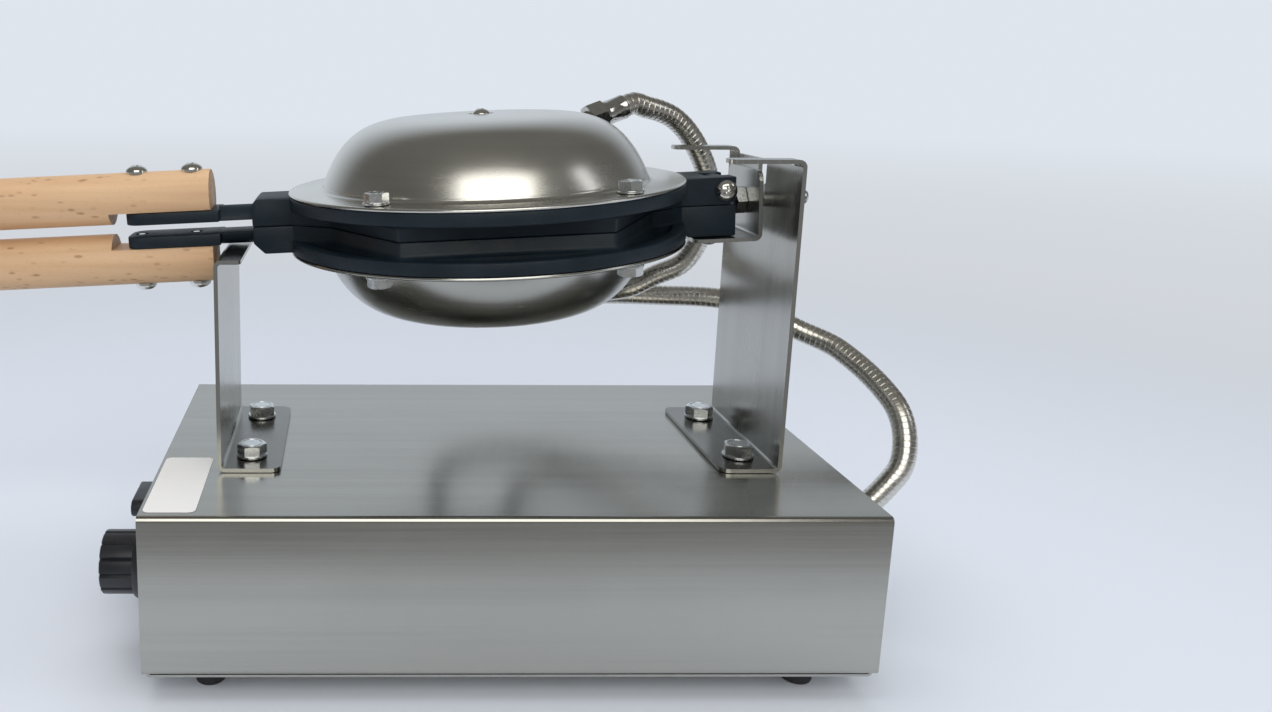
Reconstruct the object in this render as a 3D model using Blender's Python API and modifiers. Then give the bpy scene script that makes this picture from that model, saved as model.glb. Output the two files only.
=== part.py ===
"""Bubble waffle maker: a folded steel base, two stands, and a jointed head that lifts, flips and opens.

Metres, +Z up. The origin is on the ground, in the middle of the footprint. The handles point to -X.
"""
import math

import bmesh
import bpy
from mathutils import Matrix, Vector

# Clearances
SEAT_GAP = 0.0003
CUT_OVERRUN = 0.002
MERGE_DISTANCE = 0.00001

# Base: a folded cover over a folded tray
BASE_DEPTH = 0.198
BASE_HEIGHT = 0.079
BASE_SHEET = 0.0012
BASE_FOLD_RADIUS = 0.0024
BASE_LIP = 0.034
END_WALL_CORNER = 0.002
END_WALL_INSET = 0.0018
CONTROL_PLATE_THICKNESS = 0.0012
CONTROL_PLATE_MARGIN = 0.003
FOOT_HEIGHT = 0.012
FOOT_RADIUS = 0.0083
FOOT_TAPER_SHARE = 0.84
FOOT_INSET_X = 0.029
FOOT_INSET_Y = 0.020
FOOT_SCREW_RADIUS = 0.0025
FOOT_SCREW_LENGTH = 0.009

# Stands
STAND_SHEET = 0.002
STAND_WIDTH = 0.095
STAND_FOLD_RADIUS = 0.0036
STAND_CORNER_RADIUS = 0.005
FRONT_STAND_INSET = 0.030
FRONT_FOOT_LENGTH = 0.031
FRONT_REST_LENGTH = 0.013
FRONT_STAND_FROM_LUG = 0.0166
REAR_STAND_INSET = 0.030
REAR_FOOT_LENGTH = 0.0305
REAR_STAND_HEIGHT = 0.156
PRONG_LENGTH = 0.036
PRONG_WIDTH = 0.010
PRONG_CORNER_RADIUS = 0.003
SLOT_WIDTH = 0.0104

# Bolts that hold the stands
STAND_BOLT_RADIUS = 0.004
STAND_BOLT_ACROSS = 0.013
STAND_BOLT_HEAD = 0.0053
STAND_BOLT_NUT = 0.0065
STAND_WASHER_RADIUS = 0.0078
STAND_WASHER_THICKNESS = 0.0014
STAND_BOLT_TAIL = 0.002
STAND_BOLT_SPREAD = 0.030
STAND_BOLT_FROM_FOLD = 0.0155

# Pivot of the head, in the slot of the rear stand
PIVOT_RISE = 0.1318
HEAD_TILT = math.radians(3.0)
PIVOT_BOLT_RADIUS = 0.004
PIVOT_BOLT_ACROSS = 0.013
PIVOT_HEAD_HEIGHT = 0.0053
PIVOT_SPACER_HEIGHT = 0.0046
PIVOT_WASHER_RADIUS = 0.008
PIVOT_WASHER_THICKNESS = 0.0016
PIVOT_WASHER_PLAY = 0.0012
PIVOT_NUT_HEIGHT = 0.0066
PIVOT_BOLT_TAIL = 0.012

# Mould halves, measured from the parting plane and the mould's centre
RIM_RADIUS = 0.1003
RIM_TOP = 0.014
PIVOT_FROM_RIM = 0.0446
MOULD_TO_PIVOT = RIM_RADIUS + PIVOT_FROM_RIM
HEX_INSET = 0.0043
HEX_RADIUS = RIM_RADIUS - HEX_INSET
HEX_THICKNESS = 0.0077
PARTING_GAP = 0.00015
WEB_DEPTH = 0.001
WEB_MARGIN = 0.0045
CELL_RADIUS = 0.0114
CELL_DEPTH = 0.0102
CELL_PITCH = 0.0255
CELL_REACH = (HEX_RADIUS - WEB_MARGIN) * math.cos(math.radians(30)) - CELL_RADIUS
CELL_RINGS = int(CELL_REACH / (CELL_PITCH * math.cos(math.radians(30))))
POST_RADIUS = 0.006
LUG_ROOT_DEPTH = 0.0103
FRONT_LUG_REACH = 0.0182
FRONT_LUG_START = RIM_RADIUS - LUG_ROOT_DEPTH
FRONT_LUG_END = RIM_RADIUS + FRONT_LUG_REACH
LUG_HALF_WIDTH = 0.016
LUG_CHAMFER = 0.0055
NECK_LENGTH = 0.018
NECK_RADIUS = 0.010
TANG_WIDTH = 0.025
TANG_LOW = 0.003
TANG_HIGH = 0.009
TANG_LENGTH = 0.047
TANG_CORNER = 0.007
TANG_OVERLAP = 0.001
REAR_LUG_REACH = 0.0252
REAR_LUG_START = RIM_RADIUS - LUG_ROOT_DEPTH
REAR_LUG_END = RIM_RADIUS + REAR_LUG_REACH
REAR_PAD_FROM_RIM = 0.001
REAR_PAD_START = RIM_RADIUS + REAR_PAD_FROM_RIM
REAR_PAD_TOP = 0.016
HINGE_FROM_RIM = 0.020
HINGE_OFFSET = RIM_RADIUS + HINGE_FROM_RIM
HINGE_RISE = 0.0072
HINGE_RADIUS = 0.003
HINGE_HEAD_RADIUS = 0.0055
HINGE_HEAD_HEIGHT = 0.0036
HINGE_NUT_ACROSS = 0.010
HINGE_NUT_HEIGHT = 0.004
HINGE_TAIL = 0.0015
TONGUE_HALF_WIDTH = 0.0059
TONGUE_RADIUS = 0.0066
TONGUE_PLAY = 0.0006
TONGUE_ROOT_INSET = 0.001

# Bracket between the lower mould and the pivot bolt
BRACKET_SHEET = 0.002
BRACKET_FROM_PIVOT = 0.008
BRACKET_WIDTH = 0.043
BRACKET_TOP = 0.017
BRACKET_FOOT_LENGTH = 0.0335
BRACKET_CORNER = 0.005
BRACKET_SCREW_FROM_RIM = 0.0132
BRACKET_SCREW_OFFSET = RIM_RADIUS + BRACKET_SCREW_FROM_RIM
BRACKET_SCREW_SPREAD = 0.0095
BRACKET_SCREW_RADIUS = 0.0025
BRACKET_SCREW_HEAD = 0.0048
BRACKET_SCREW_HEAD_HEIGHT = 0.0026
BRACKET_SCREW_LENGTH = 0.010

# Domes
COVER_SHEET = 0.0015
FLANGE_WIDTH = 0.0173
DOME_RADIUS = RIM_RADIUS - FLANGE_WIDTH
DOME_HEIGHT = 0.035
DOME_SQUARENESS = 5.6
DOME_SLOPE = 1.13
DOME_FOOT_RADIUS = 0.0015
DIMPLE_RADIUS = 0.009
DIMPLE_DEPTH = 0.0016
COVER_BOLT_INSET = 0.0081
COVER_BOLT_CIRCLE = RIM_RADIUS - COVER_BOLT_INSET
COVER_BOLT_ANGLE = math.radians(52.0)
COVER_BOLT_RADIUS = 0.003
COVER_BOLT_ACROSS = 0.010
COVER_BOLT_HEAD = 0.0042
COVER_WASHER_RADIUS = 0.0062
COVER_WASHER_THICKNESS = 0.0014
COVER_BOLT_LENGTH = 0.0055
CENTRE_SCREW_RADIUS = 0.0025
CENTRE_SCREW_HEAD = 0.005
CENTRE_SCREW_HEAD_HEIGHT = 0.0024
CENTRE_SCREW_LENGTH = 0.014
HEATER_RING_INSET = 0.027
HEATER_RING_RADIUS = DOME_RADIUS - HEATER_RING_INSET
HEATER_TUBE_RADIUS = 0.0035

# Handles
HANDLE_RADIUS = 0.0133
HANDLE_RISE = 0.0158
HANDLE_LENGTH = 0.208
HANDLE_END_ROUND = 0.005
HANDLE_FRONT_FROM_NECK = 0.003
HANDLE_LAP_LENGTH = 0.052
HANDLE_SCREW_RADIUS = 0.002
HANDLE_SCREW_HEAD = 0.0057
HANDLE_SCREW_HEAD_HEIGHT = 0.0034
HANDLE_SCREW_FRONT = 0.0127
HANDLE_SCREW_SPACING = 0.0283

# Conduits and their connectors
HOSE_RADIUS = 0.0062
HOSE_BORE_RADIUS = 0.0040
HOSE_GROOVE_SHARE = 0.9
HOSE_PITCH = 0.0062
GLAND_STUB_RADIUS = 0.0052
GLAND_STUB_INSIDE = 0.004
GLAND_NUT_ACROSS = 0.015
GLAND_FERRULE_RADIUS = 0.0066
GLAND_BORE_RADIUS = 0.0038
GLAND_NUT_LENGTH = 0.006
LOWER_FERRULE_LENGTH = 0.008
UPPER_NUT_LENGTH = 0.010
UPPER_FERRULE_LENGTH = 0.006
UPPER_GLAND_ALONG_SHARE = 0.7036
UPPER_GLAND_ACROSS_SHARE = 0.5084
UPPER_GLAND_RISE_SHARE = 0.6971
UPPER_GLAND_STANDOFF = 0.0065
UPPER_GLAND_STUB_INSIDE = 0.011
UPPER_GLAND_WAY_SHARES = (0.922, 0.283, 0.264)
LOOP_GLAND_AZIMUTH = math.radians(70.0)
SUPPLY_GLAND_AZIMUTH = math.radians(100.0)
LOWER_GLAND_SHARE = math.radians(43.7)
BASE_GLAND_Y = -0.014
BASE_GLAND_Z = 0.041
BASE_GLAND_FLANGE = 0.0095
BASE_GLAND_NUT_LENGTH = 0.003
BASE_GLAND_COLLAR = 0.0023
BASE_GLAND_TAIL = 0.0052

# Controls on the left end
KNOB_Z = 0.039
THERMOSTAT_INSET = 0.038
THERMOSTAT_Y = THERMOSTAT_INSET - BASE_DEPTH / 2
TIMER_Y = 0.013
KNOB_SKIRT_RADIUS = 0.0245
KNOB_SKIRT_HEIGHT = 0.0080
KNOB_NECK_RADIUS = 0.0165
KNOB_GRIP_RADIUS = 0.0152
KNOB_GRIP_HEIGHT = 0.0160
KNOB_FLUTE_DEPTH = 0.0011
KNOB_FLUTES = 12
KNOB_BAR_WIDTH = 0.0095
KNOB_BAR_LENGTH = 0.033
KNOB_BORE_DEPTH = 0.012
KNOB_PANEL_GAP = 0.0004
SPINDLE_RADIUS = 0.003
SPINDLE_HOLE = 0.0036
CONTROL_BODY_SIZE = 0.044
CONTROL_BODY_DEPTH = 0.030
LAMP_INSET = 0.035
LAMP_Y = BASE_DEPTH / 2 - LAMP_INSET
LAMP_LOW_Z = 0.028
LAMP_HIGH_Z = 0.052
LAMP_RADIUS = 0.005
LAMP_BEZEL_RADIUS = 0.007
LAMP_BEZEL_HEIGHT = 0.002
LAMP_LENS_HEIGHT = 0.004
LAMP_TAIL = 0.012
MAINS_GLAND_INSET = 0.039
MAINS_GLAND_Y = BASE_DEPTH / 2 - MAINS_GLAND_INSET
MAINS_GLAND_Z = 0.034
MAINS_GLAND_RADIUS = 0.0085
MAINS_GLAND_HEIGHT = 0.0148
MAINS_GLAND_ACROSS = 0.019
MAINS_GLAND_STUB = 0.0065
MAINS_GLAND_TAIL = 0.0052
MAINS_GLAND_BORE = 0.0042
BLOCK_LENGTH = 0.060
BLOCK_DEPTH = 0.022
BLOCK_HEIGHT = 0.016
BLOCK_X = 0.040
BLOCK_Y = 0.020

# Facets
SMALL_SIDES = 10
ROUND_SIDES = 14
LARGE_SIDES = 32
CELL_SIDES = 8
CELL_RINGS_OF_FACETS = 6

# Places that follow from the sizes
BASE_BOTTOM = FOOT_HEIGHT
STANDS_APART = MOULD_TO_PIVOT + FRONT_LUG_END + FRONT_STAND_FROM_LUG
BASE_LENGTH = FRONT_STAND_INSET + STANDS_APART + REAR_STAND_INSET
BASE_TOP = FOOT_HEIGHT + BASE_HEIGHT
PIVOT_FROM_RIGHT = REAR_STAND_INSET + STAND_SHEET / 2
PIVOT_Z = BASE_TOP + PIVOT_RISE
NECK_END = FRONT_LUG_END + NECK_LENGTH
TANG_END = NECK_END + TANG_LENGTH
HANDLE_FRONT = NECK_END + HANDLE_FRONT_FROM_NECK
HANDLE_BACK = HANDLE_FRONT + HANDLE_LENGTH
MAINS_REACH = SEAT_GAP + MAINS_GLAND_HEIGHT - END_WALL_INSET
HANDLE_REACH = (
    (MOULD_TO_PIVOT + HANDLE_BACK - HANDLE_END_ROUND) * math.cos(HEAD_TILT)
    + (HANDLE_RISE + HANDLE_RADIUS - HANDLE_END_ROUND) * math.sin(HEAD_TILT)
    + HANDLE_END_ROUND
)
# The pivot stands so far to the right that handle end and mains inlet lie evenly about the origin.
PIVOT_X = (HANDLE_REACH - PIVOT_FROM_RIGHT - MAINS_REACH) / 2
BASE_RIGHT = PIVOT_X + PIVOT_FROM_RIGHT
BASE_LEFT = BASE_RIGHT - BASE_LENGTH
FRONT_STAND_X = BASE_LEFT + FRONT_STAND_INSET
REAR_STAND_X = BASE_RIGHT - REAR_STAND_INSET
COVER_SEAT = RIM_TOP + SEAT_GAP
COVER_TOP = COVER_SEAT + COVER_SHEET
TRAY_LEFT = BASE_LEFT + END_WALL_INSET
TRAY_RIGHT = BASE_RIGHT - END_WALL_INSET
PANEL_FACE = TRAY_LEFT
PLATE_FACE = PANEL_FACE - SEAT_GAP - CONTROL_PLATE_THICKNESS


def clear_scene():
    for obj in list(bpy.data.objects):
        bpy.data.objects.remove(obj, do_unlink=True)
    for collection in list(bpy.data.collections):
        bpy.data.collections.remove(collection)


clear_scene()
PARTS = bpy.data.collections.new("bubble_waffle_maker")
bpy.context.scene.collection.children.link(PARTS)
CUTTERS = bpy.data.collections.new("cutters")
bpy.context.scene.collection.children.link(CUTTERS)


# Shapes, each made about its own origin

def as_object(name, bm, where=None):
    mesh = bpy.data.meshes.new(name)
    bm.to_mesh(mesh)
    bm.free()
    obj = bpy.data.objects.new(name, mesh)
    (where or CUTTERS).objects.link(obj)
    return obj


def bake(obj):
    """Replace the object's mesh by what its modifiers make of it."""
    bpy.context.view_layer.update()
    depsgraph = bpy.context.evaluated_depsgraph_get()
    mesh = bpy.data.meshes.new_from_object(obj.evaluated_get(depsgraph), depsgraph=depsgraph)
    bm = bmesh.new()
    bm.from_mesh(mesh)
    bmesh.ops.remove_doubles(bm, verts=bm.verts, dist=MERGE_DISTANCE)
    bmesh.ops.dissolve_degenerate(bm, edges=bm.edges, dist=MERGE_DISTANCE)
    bmesh.ops.recalc_face_normals(bm, faces=bm.faces)
    bm.to_mesh(mesh)
    bm.free()
    if obj.type == "MESH":
        obj.modifiers.clear()
        obj.data = mesh
        return obj
    made = bpy.data.objects.new(obj.name + "_mesh", mesh)
    CUTTERS.objects.link(made)
    made.matrix_world = obj.matrix_world
    bpy.data.objects.remove(obj, do_unlink=True)
    return made


def combine(obj, other, operation):
    modifier = obj.modifiers.new(operation, "BOOLEAN")
    modifier.operation = operation
    modifier.solver = "EXACT"
    modifier.object = other
    bake(obj)
    bpy.data.objects.remove(other, do_unlink=True)
    return obj


def cut(obj, *cutters):
    for cutter in cutters:
        combine(obj, cutter, "DIFFERENCE")
    return obj


def join(obj, *others):
    for other in others:
        combine(obj, other, "UNION")
    return obj


def moved(obj, x=0.0, y=0.0, z=0.0):
    obj.data.transform(Matrix.Translation((x, y, z)))
    return obj


def turned_about(obj, angle, axis):
    obj.data.transform(Matrix.Rotation(angle, 4, axis))
    return obj


def pointed(obj, direction):
    """Turn a shape that is built along +Z so that it points along the direction."""
    turn = Vector((0, 0, 1)).rotation_difference(Vector(direction)).to_matrix().to_4x4()
    obj.data.transform(turn)
    return obj


def box(low, high):
    bm = bmesh.new()
    bmesh.ops.create_cube(bm, size=1)
    size = [b - a for a, b in zip(low, high)]
    middle = [(a + b) / 2 for a, b in zip(low, high)]
    bmesh.ops.scale(bm, vec=size, verts=bm.verts)
    bmesh.ops.translate(bm, vec=middle, verts=bm.verts)
    return as_object("box", bm)


def bar(radius, low, high, sides=SMALL_SIDES, turn=0.0):
    """A round or many-sided bar along Z."""
    bm = bmesh.new()
    bmesh.ops.create_cone(
        bm, cap_ends=True, segments=sides, radius1=radius, radius2=radius, depth=high - low,
    )
    bmesh.ops.translate(bm, vec=(0, 0, (low + high) / 2), verts=bm.verts)
    if turn:
        bmesh.ops.rotate(bm, matrix=Matrix.Rotation(turn, 3, "Z"), verts=bm.verts)
    return as_object("bar", bm)


def hexagon(across, low, high):
    return bar(across / math.sqrt(3), low, high, sides=6)


def turned(profile, sides=ROUND_SIDES, closed=False):
    """A turned shape: a profile of radius and height, outer side from top to bottom."""
    bm = bmesh.new()
    points = [bm.verts.new((r, 0, z)) for r, z in profile]
    for a, b in zip(points, points[1:]):
        bm.edges.new((a, b))
    if closed:
        bm.edges.new((points[-1], points[0]))
    obj = as_object("turned", bm)
    screw = obj.modifiers.new("turn", "SCREW")
    screw.axis = "Z"
    screw.steps = sides
    screw.render_steps = sides
    screw.use_merge_vertices = True
    screw.merge_threshold = MERGE_DISTANCE
    return bake(obj)


def outline(points, low, high):
    """A flat outline in XY, given a thickness along Z."""
    curve = bpy.data.curves.new("outline", "CURVE")
    curve.dimensions = "2D"
    curve.fill_mode = "BOTH"
    spline = curve.splines.new("POLY")
    spline.points.add(len(points) - 1)
    for spot, (x, y) in zip(spline.points, points):
        spot.co = (x, y, 0, 1)
    spline.use_cyclic_u = True
    curve.extrude = (high - low) / 2
    obj = bpy.data.objects.new("outline", curve)
    CUTTERS.objects.link(obj)
    made = bake(obj)
    bm = bmesh.new()
    bm.from_mesh(made.data)
    bmesh.ops.dissolve_limit(bm, angle_limit=math.radians(0.5), verts=bm.verts, edges=bm.edges)
    bm.to_mesh(made.data)
    bm.free()
    return moved(made, z=(low + high) / 2)


def upright_outline(points, low, high):
    """An outline in XZ, given a width along Y."""
    obj = outline(points, -high, -low)
    obj.data.transform(Matrix.Rotation(math.pi / 2, 4, "X"))
    return obj


def arc(cx, cy, radius, start, end, steps):
    """Points of an arc, with both ends, in degrees."""
    return [
        (
            cx + radius * math.cos(math.radians(start + (end - start) * i / steps)),
            cy + radius * math.sin(math.radians(start + (end - start) * i / steps)),
        )
        for i in range(steps + 1)
    ]


def folded_strip(corners, thickness, width, outer_radius):
    """Sheet folded along Y: corners are the outer face's points in XZ, with material on their right."""
    outer, inner = [], []
    last = len(corners) - 1
    for i, corner in enumerate(corners):
        here = Vector(corner)
        before = (here - Vector(corners[i - 1])).normalized() if i else None
        after = (Vector(corners[i + 1]) - here).normalized() if i < last else None
        if before is None or after is None:
            way = after or before
            side = Vector((way.y, -way.x))
            outer.append(here)
            inner.append(here + side * thickness)
            continue
        turn = before.x * after.y - before.y * after.x
        radius = outer_radius if turn < 0 else outer_radius - thickness
        side_before = Vector((before.y, -before.x))
        side_after = Vector((after.y, -after.x))
        sign = 1 if turn < 0 else -1
        centre = here - before * radius + side_before * radius * sign
        for k in range(5):
            mixed = (side_before * (4 - k) + side_after * k).normalized() * -sign
            outer.append(centre + mixed * radius)
            inner.append(centre + mixed * (radius - thickness * sign))
    points = [(p.x, p.y) for p in outer] + [(p.x, p.y) for p in reversed(inner)]
    return upright_outline(points, -width / 2, width / 2)


def round_corners(obj, along, where, radius):
    """Round the edges that run along an axis at the places that the test picks."""
    bm = bmesh.new()
    bm.from_mesh(obj.data)
    edges = []
    for edge in bm.edges:
        way = edge.verts[1].co - edge.verts[0].co
        across = [abs(way[k]) for k in range(3) if k != along]
        if max(across) < MERGE_DISTANCE and where((edge.verts[0].co + edge.verts[1].co) / 2):
            edges.append(edge)
    bmesh.ops.bevel(
        bm, geom=edges, offset=radius, segments=4, profile=0.5, affect="EDGES", clamp_overlap=True,
    )
    bm.to_mesh(obj.data)
    bm.free()
    return obj


# Materials and placing

def material(name, colour, roughness, metallic):
    made = bpy.data.materials.get(name)
    if made:
        return made
    made = bpy.data.materials.new(name)
    made.use_nodes = True
    shader = made.node_tree.nodes["Principled BSDF"]
    shader.inputs["Base Color"].default_value = (*colour, 1)
    shader.inputs["Roughness"].default_value = roughness
    shader.inputs["Metallic"].default_value = metallic
    made.diffuse_color = (*colour, 1)
    return made


STEEL = ("brushed_steel", (0.45, 0.46, 0.45), 0.35, 1.0)
DOME_STEEL = ("polished_steel", (0.46, 0.45, 0.42), 0.22, 1.0)
ZINC = ("zinc_plated", (0.62, 0.62, 0.62), 0.3, 1.0)
CHROME = ("chrome", (0.7, 0.7, 0.7), 0.12, 1.0)
CAST = ("black_coated_casting", (0.018, 0.022, 0.028), 0.5, 0.0)
BEECH = ("beech", (0.72, 0.46, 0.27), 0.55, 0.0)
BLACK = ("black_plastic", (0.012, 0.012, 0.014), 0.4, 0.0)
RUBBER = ("black_rubber", (0.015, 0.015, 0.015), 0.8, 0.0)
EDGE = ("printed_plate", (0.16, 0.05, 0.035), 0.4, 0.0)
DARK_METAL = ("dark_metal", (0.16, 0.17, 0.18), 0.35, 1.0)
LAMP = ("lamp_lens", (0.5, 0.03, 0.02), 0.2, 0.0)
CERAMIC = ("terminal_white", (0.75, 0.74, 0.7), 0.6, 0.0)

AXES = {}


def axis_empty(name, location, rotation=(0, 0, 0), parent=None):
    empty = bpy.data.objects.new(name, None)
    PARTS.objects.link(empty)
    empty.parent = parent
    empty.location = location
    empty.rotation_euler = rotation
    AXES[name] = empty
    return empty


def place(name, obj, look, location=(0, 0, 0), rotation=(0, 0, 0), parent=None):
    for collection in list(obj.users_collection):
        collection.objects.unlink(obj)
    PARTS.objects.link(obj)
    obj.name = name
    obj.data.name = name
    obj.data.materials.clear()
    obj.data.materials.append(material(*look))
    obj.data.shade_smooth()
    obj.data.set_sharp_from_angle(angle=math.radians(32))
    obj.parent = parent
    obj.location = location
    obj.rotation_euler = rotation
    return obj


def copy_of(obj):
    made = bpy.data.objects.new(obj.name, obj.data)
    CUTTERS.objects.link(made)
    return made


# Base

def feet_places():
    x = BASE_LENGTH / 2 - FOOT_INSET_X
    y = BASE_DEPTH / 2 - FOOT_INSET_Y
    middle = (BASE_LEFT + BASE_RIGHT) / 2
    return [(middle - x, -y), (middle - x, y), (middle + x, -y), (middle + x, y)]


def stand_bolt_places():
    front = FRONT_STAND_X + STAND_BOLT_FROM_FOLD
    rear = REAR_STAND_X - STAND_BOLT_FROM_FOLD
    return [(x, y) for x in (front, rear) for y in (-STAND_BOLT_SPREAD, STAND_BOLT_SPREAD)]


def base_cover():
    half = BASE_DEPTH / 2
    low = BASE_BOTTOM + BASE_SHEET + SEAT_GAP
    corners = [
        (-half + BASE_LIP, low), (-half, low), (-half, BASE_TOP),
        (half, BASE_TOP), (half, low), (half - BASE_LIP, low),
    ]
    cover = folded_strip(corners, BASE_SHEET, BASE_LENGTH, BASE_FOLD_RADIUS)
    turned_about(cover, math.pi / 2, "Z")
    moved(cover, x=(BASE_LEFT + BASE_RIGHT) / 2)
    notch = END_WALL_INSET + BASE_FOLD_RADIUS + SEAT_GAP
    inner = half - BASE_SHEET - SEAT_GAP / 2
    top = low + BASE_FOLD_RADIUS + CUT_OVERRUN
    for x_low, x_high in (
        (BASE_LEFT - CUT_OVERRUN, BASE_LEFT + notch),
        (BASE_RIGHT - notch, BASE_RIGHT + CUT_OVERRUN),
    ):
        cut(cover, box((x_low, -inner, low - CUT_OVERRUN), (x_high, inner, top)))
    for x, y in feet_places():
        hole = bar(FOOT_SCREW_RADIUS + SEAT_GAP, low - CUT_OVERRUN, top)
        cut(cover, moved(hole, x=x, y=y))
    for x, y in stand_bolt_places():
        hole_low = BASE_TOP - BASE_SHEET - CUT_OVERRUN
        hole = bar(STAND_BOLT_RADIUS + SEAT_GAP, hole_low, BASE_TOP + CUT_OVERRUN)
        cut(cover, moved(hole, x=x, y=y))
    return cover


def control_places():
    return {
        "thermostat": (THERMOSTAT_Y, BASE_BOTTOM + KNOB_Z, SPINDLE_HOLE),
        "timer": (TIMER_Y, BASE_BOTTOM + KNOB_Z, SPINDLE_HOLE),
        "power_lamp": (LAMP_Y, BASE_BOTTOM + LAMP_LOW_Z, LAMP_RADIUS + SEAT_GAP),
        "heat_lamp": (LAMP_Y, BASE_BOTTOM + LAMP_HIGH_Z, LAMP_RADIUS + SEAT_GAP),
    }


def across_bar(radius, low, high, y, z, sides=SMALL_SIDES):
    """A bar along X."""
    return moved(turned_about(bar(radius, low, high, sides), math.pi / 2, "Y"), y=y, z=z)


def base_tray():
    top = BASE_TOP - BASE_SHEET - SEAT_GAP
    width = BASE_DEPTH - 2 * (BASE_SHEET + SEAT_GAP)
    corners = [
        (TRAY_RIGHT, top), (TRAY_RIGHT, BASE_BOTTOM), (TRAY_LEFT, BASE_BOTTOM), (TRAY_LEFT, top),
    ]
    tray = folded_strip(corners, BASE_SHEET, width, BASE_FOLD_RADIUS)
    round_corners(tray, 0, lambda p: p.z > top - SEAT_GAP, END_WALL_CORNER)
    for x, y in feet_places():
        hole = bar(FOOT_SCREW_RADIUS + SEAT_GAP, BASE_BOTTOM - CUT_OVERRUN, BASE_BOTTOM + CUT_OVERRUN)
        cut(tray, moved(hole, x=x, y=y))
    for y, z, radius in control_places().values():
        cut(tray, across_bar(radius, TRAY_LEFT - CUT_OVERRUN, TRAY_LEFT + CUT_OVERRUN, y, z))
    for y, z, radius in (
        (BASE_GLAND_Y, BASE_BOTTOM + BASE_GLAND_Z, GLAND_STUB_RADIUS),
        (MAINS_GLAND_Y, BASE_BOTTOM + MAINS_GLAND_Z, MAINS_GLAND_STUB),
    ):
        hole = across_bar(
            radius + SEAT_GAP, TRAY_RIGHT - CUT_OVERRUN, TRAY_RIGHT + CUT_OVERRUN, y, z, ROUND_SIDES,
        )
        cut(tray, hole)
    return tray


def control_plate():
    half = BASE_DEPTH / 2 - BASE_SHEET - CONTROL_PLATE_MARGIN
    plate = box(
        (PLATE_FACE, -half, BASE_BOTTOM + CONTROL_PLATE_MARGIN),
        (PLATE_FACE + CONTROL_PLATE_THICKNESS, half, BASE_TOP - BASE_SHEET - CONTROL_PLATE_MARGIN),
    )
    for y, z, radius in control_places().values():
        cut(plate, across_bar(radius, PLATE_FACE - CUT_OVERRUN, PLATE_FACE + CUT_OVERRUN, y, z))
    return plate


def foot():
    top = BASE_BOTTOM - SEAT_GAP
    return turned([
        (0, top + FOOT_SCREW_LENGTH),
        (FOOT_SCREW_RADIUS, top + FOOT_SCREW_LENGTH),
        (FOOT_SCREW_RADIUS, top),
        (FOOT_RADIUS, top),
        (FOOT_RADIUS * FOOT_TAPER_SHARE, 0),
        (0, 0),
    ])


# Stands

def front_stand_top():
    """The neck's underside over the stand's outer edge, less the seat gap."""
    back = (PIVOT_X - FRONT_STAND_X) * math.tan(HEAD_TILT)
    return PIVOT_Z - back - NECK_RADIUS / math.cos(HEAD_TILT) - SEAT_GAP


def stand_holes(stand, places):
    low = BASE_TOP - CUT_OVERRUN
    for x, y in places:
        hole = bar(STAND_BOLT_RADIUS + SEAT_GAP, low, low + STAND_SHEET + 2 * CUT_OVERRUN)
        cut(stand, moved(hole, x=x, y=y))
    return stand


def front_upright():
    low = BASE_TOP + SEAT_GAP
    top = front_stand_top()
    x = FRONT_STAND_X
    corners = [(x + FRONT_FOOT_LENGTH, low), (x, low), (x, top), (x + FRONT_REST_LENGTH, top)]
    stand = folded_strip(corners, STAND_SHEET, STAND_WIDTH, STAND_FOLD_RADIUS)
    edge = x + FRONT_FOOT_LENGTH - SEAT_GAP
    rest = x + FRONT_REST_LENGTH - SEAT_GAP
    middle = (low + top) / 2
    round_corners(stand, 2, lambda p: p.x > edge and p.z < middle, STAND_CORNER_RADIUS)
    round_corners(stand, 2, lambda p: p.x > rest and p.z > middle, PRONG_CORNER_RADIUS)
    return stand_holes(stand, stand_bolt_places()[:2])


def rear_upright():
    low = BASE_TOP + SEAT_GAP
    top = BASE_TOP + REAR_STAND_HEIGHT
    x = REAR_STAND_X
    corners = [(x - PRONG_LENGTH, top), (x, top), (x, low), (x - REAR_FOOT_LENGTH, low)]
    stand = folded_strip(corners, STAND_SHEET, STAND_WIDTH, STAND_FOLD_RADIUS)
    inner = STAND_WIDTH / 2 - PRONG_WIDTH
    cut(stand, box(
        (x - PRONG_LENGTH - CUT_OVERRUN, -inner, top - STAND_FOLD_RADIUS),
        (x + CUT_OVERRUN, inner, top + CUT_OVERRUN),
    ))
    bottom = PIVOT_Z - PIVOT_BOLT_RADIUS - SEAT_GAP
    slot = box(
        (x - STAND_SHEET - CUT_OVERRUN, -SLOT_WIDTH / 2, bottom + SLOT_WIDTH / 2),
        (x + CUT_OVERRUN, SLOT_WIDTH / 2, top + CUT_OVERRUN),
    )
    slot_end = across_bar(
        SLOT_WIDTH / 2, x - STAND_SHEET - CUT_OVERRUN, x + CUT_OVERRUN,
        0, bottom + SLOT_WIDTH / 2, ROUND_SIDES,
    )
    cut(stand, join(slot, slot_end))
    edge = x - REAR_FOOT_LENGTH + SEAT_GAP
    tip = x - PRONG_LENGTH + SEAT_GAP
    middle = (low + top) / 2
    round_corners(stand, 2, lambda p: p.x < edge and p.z < middle, STAND_CORNER_RADIUS)
    round_corners(stand, 2, lambda p: p.x < tip and p.z > middle, PRONG_CORNER_RADIUS)
    return stand_holes(stand, stand_bolt_places()[2:])


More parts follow.
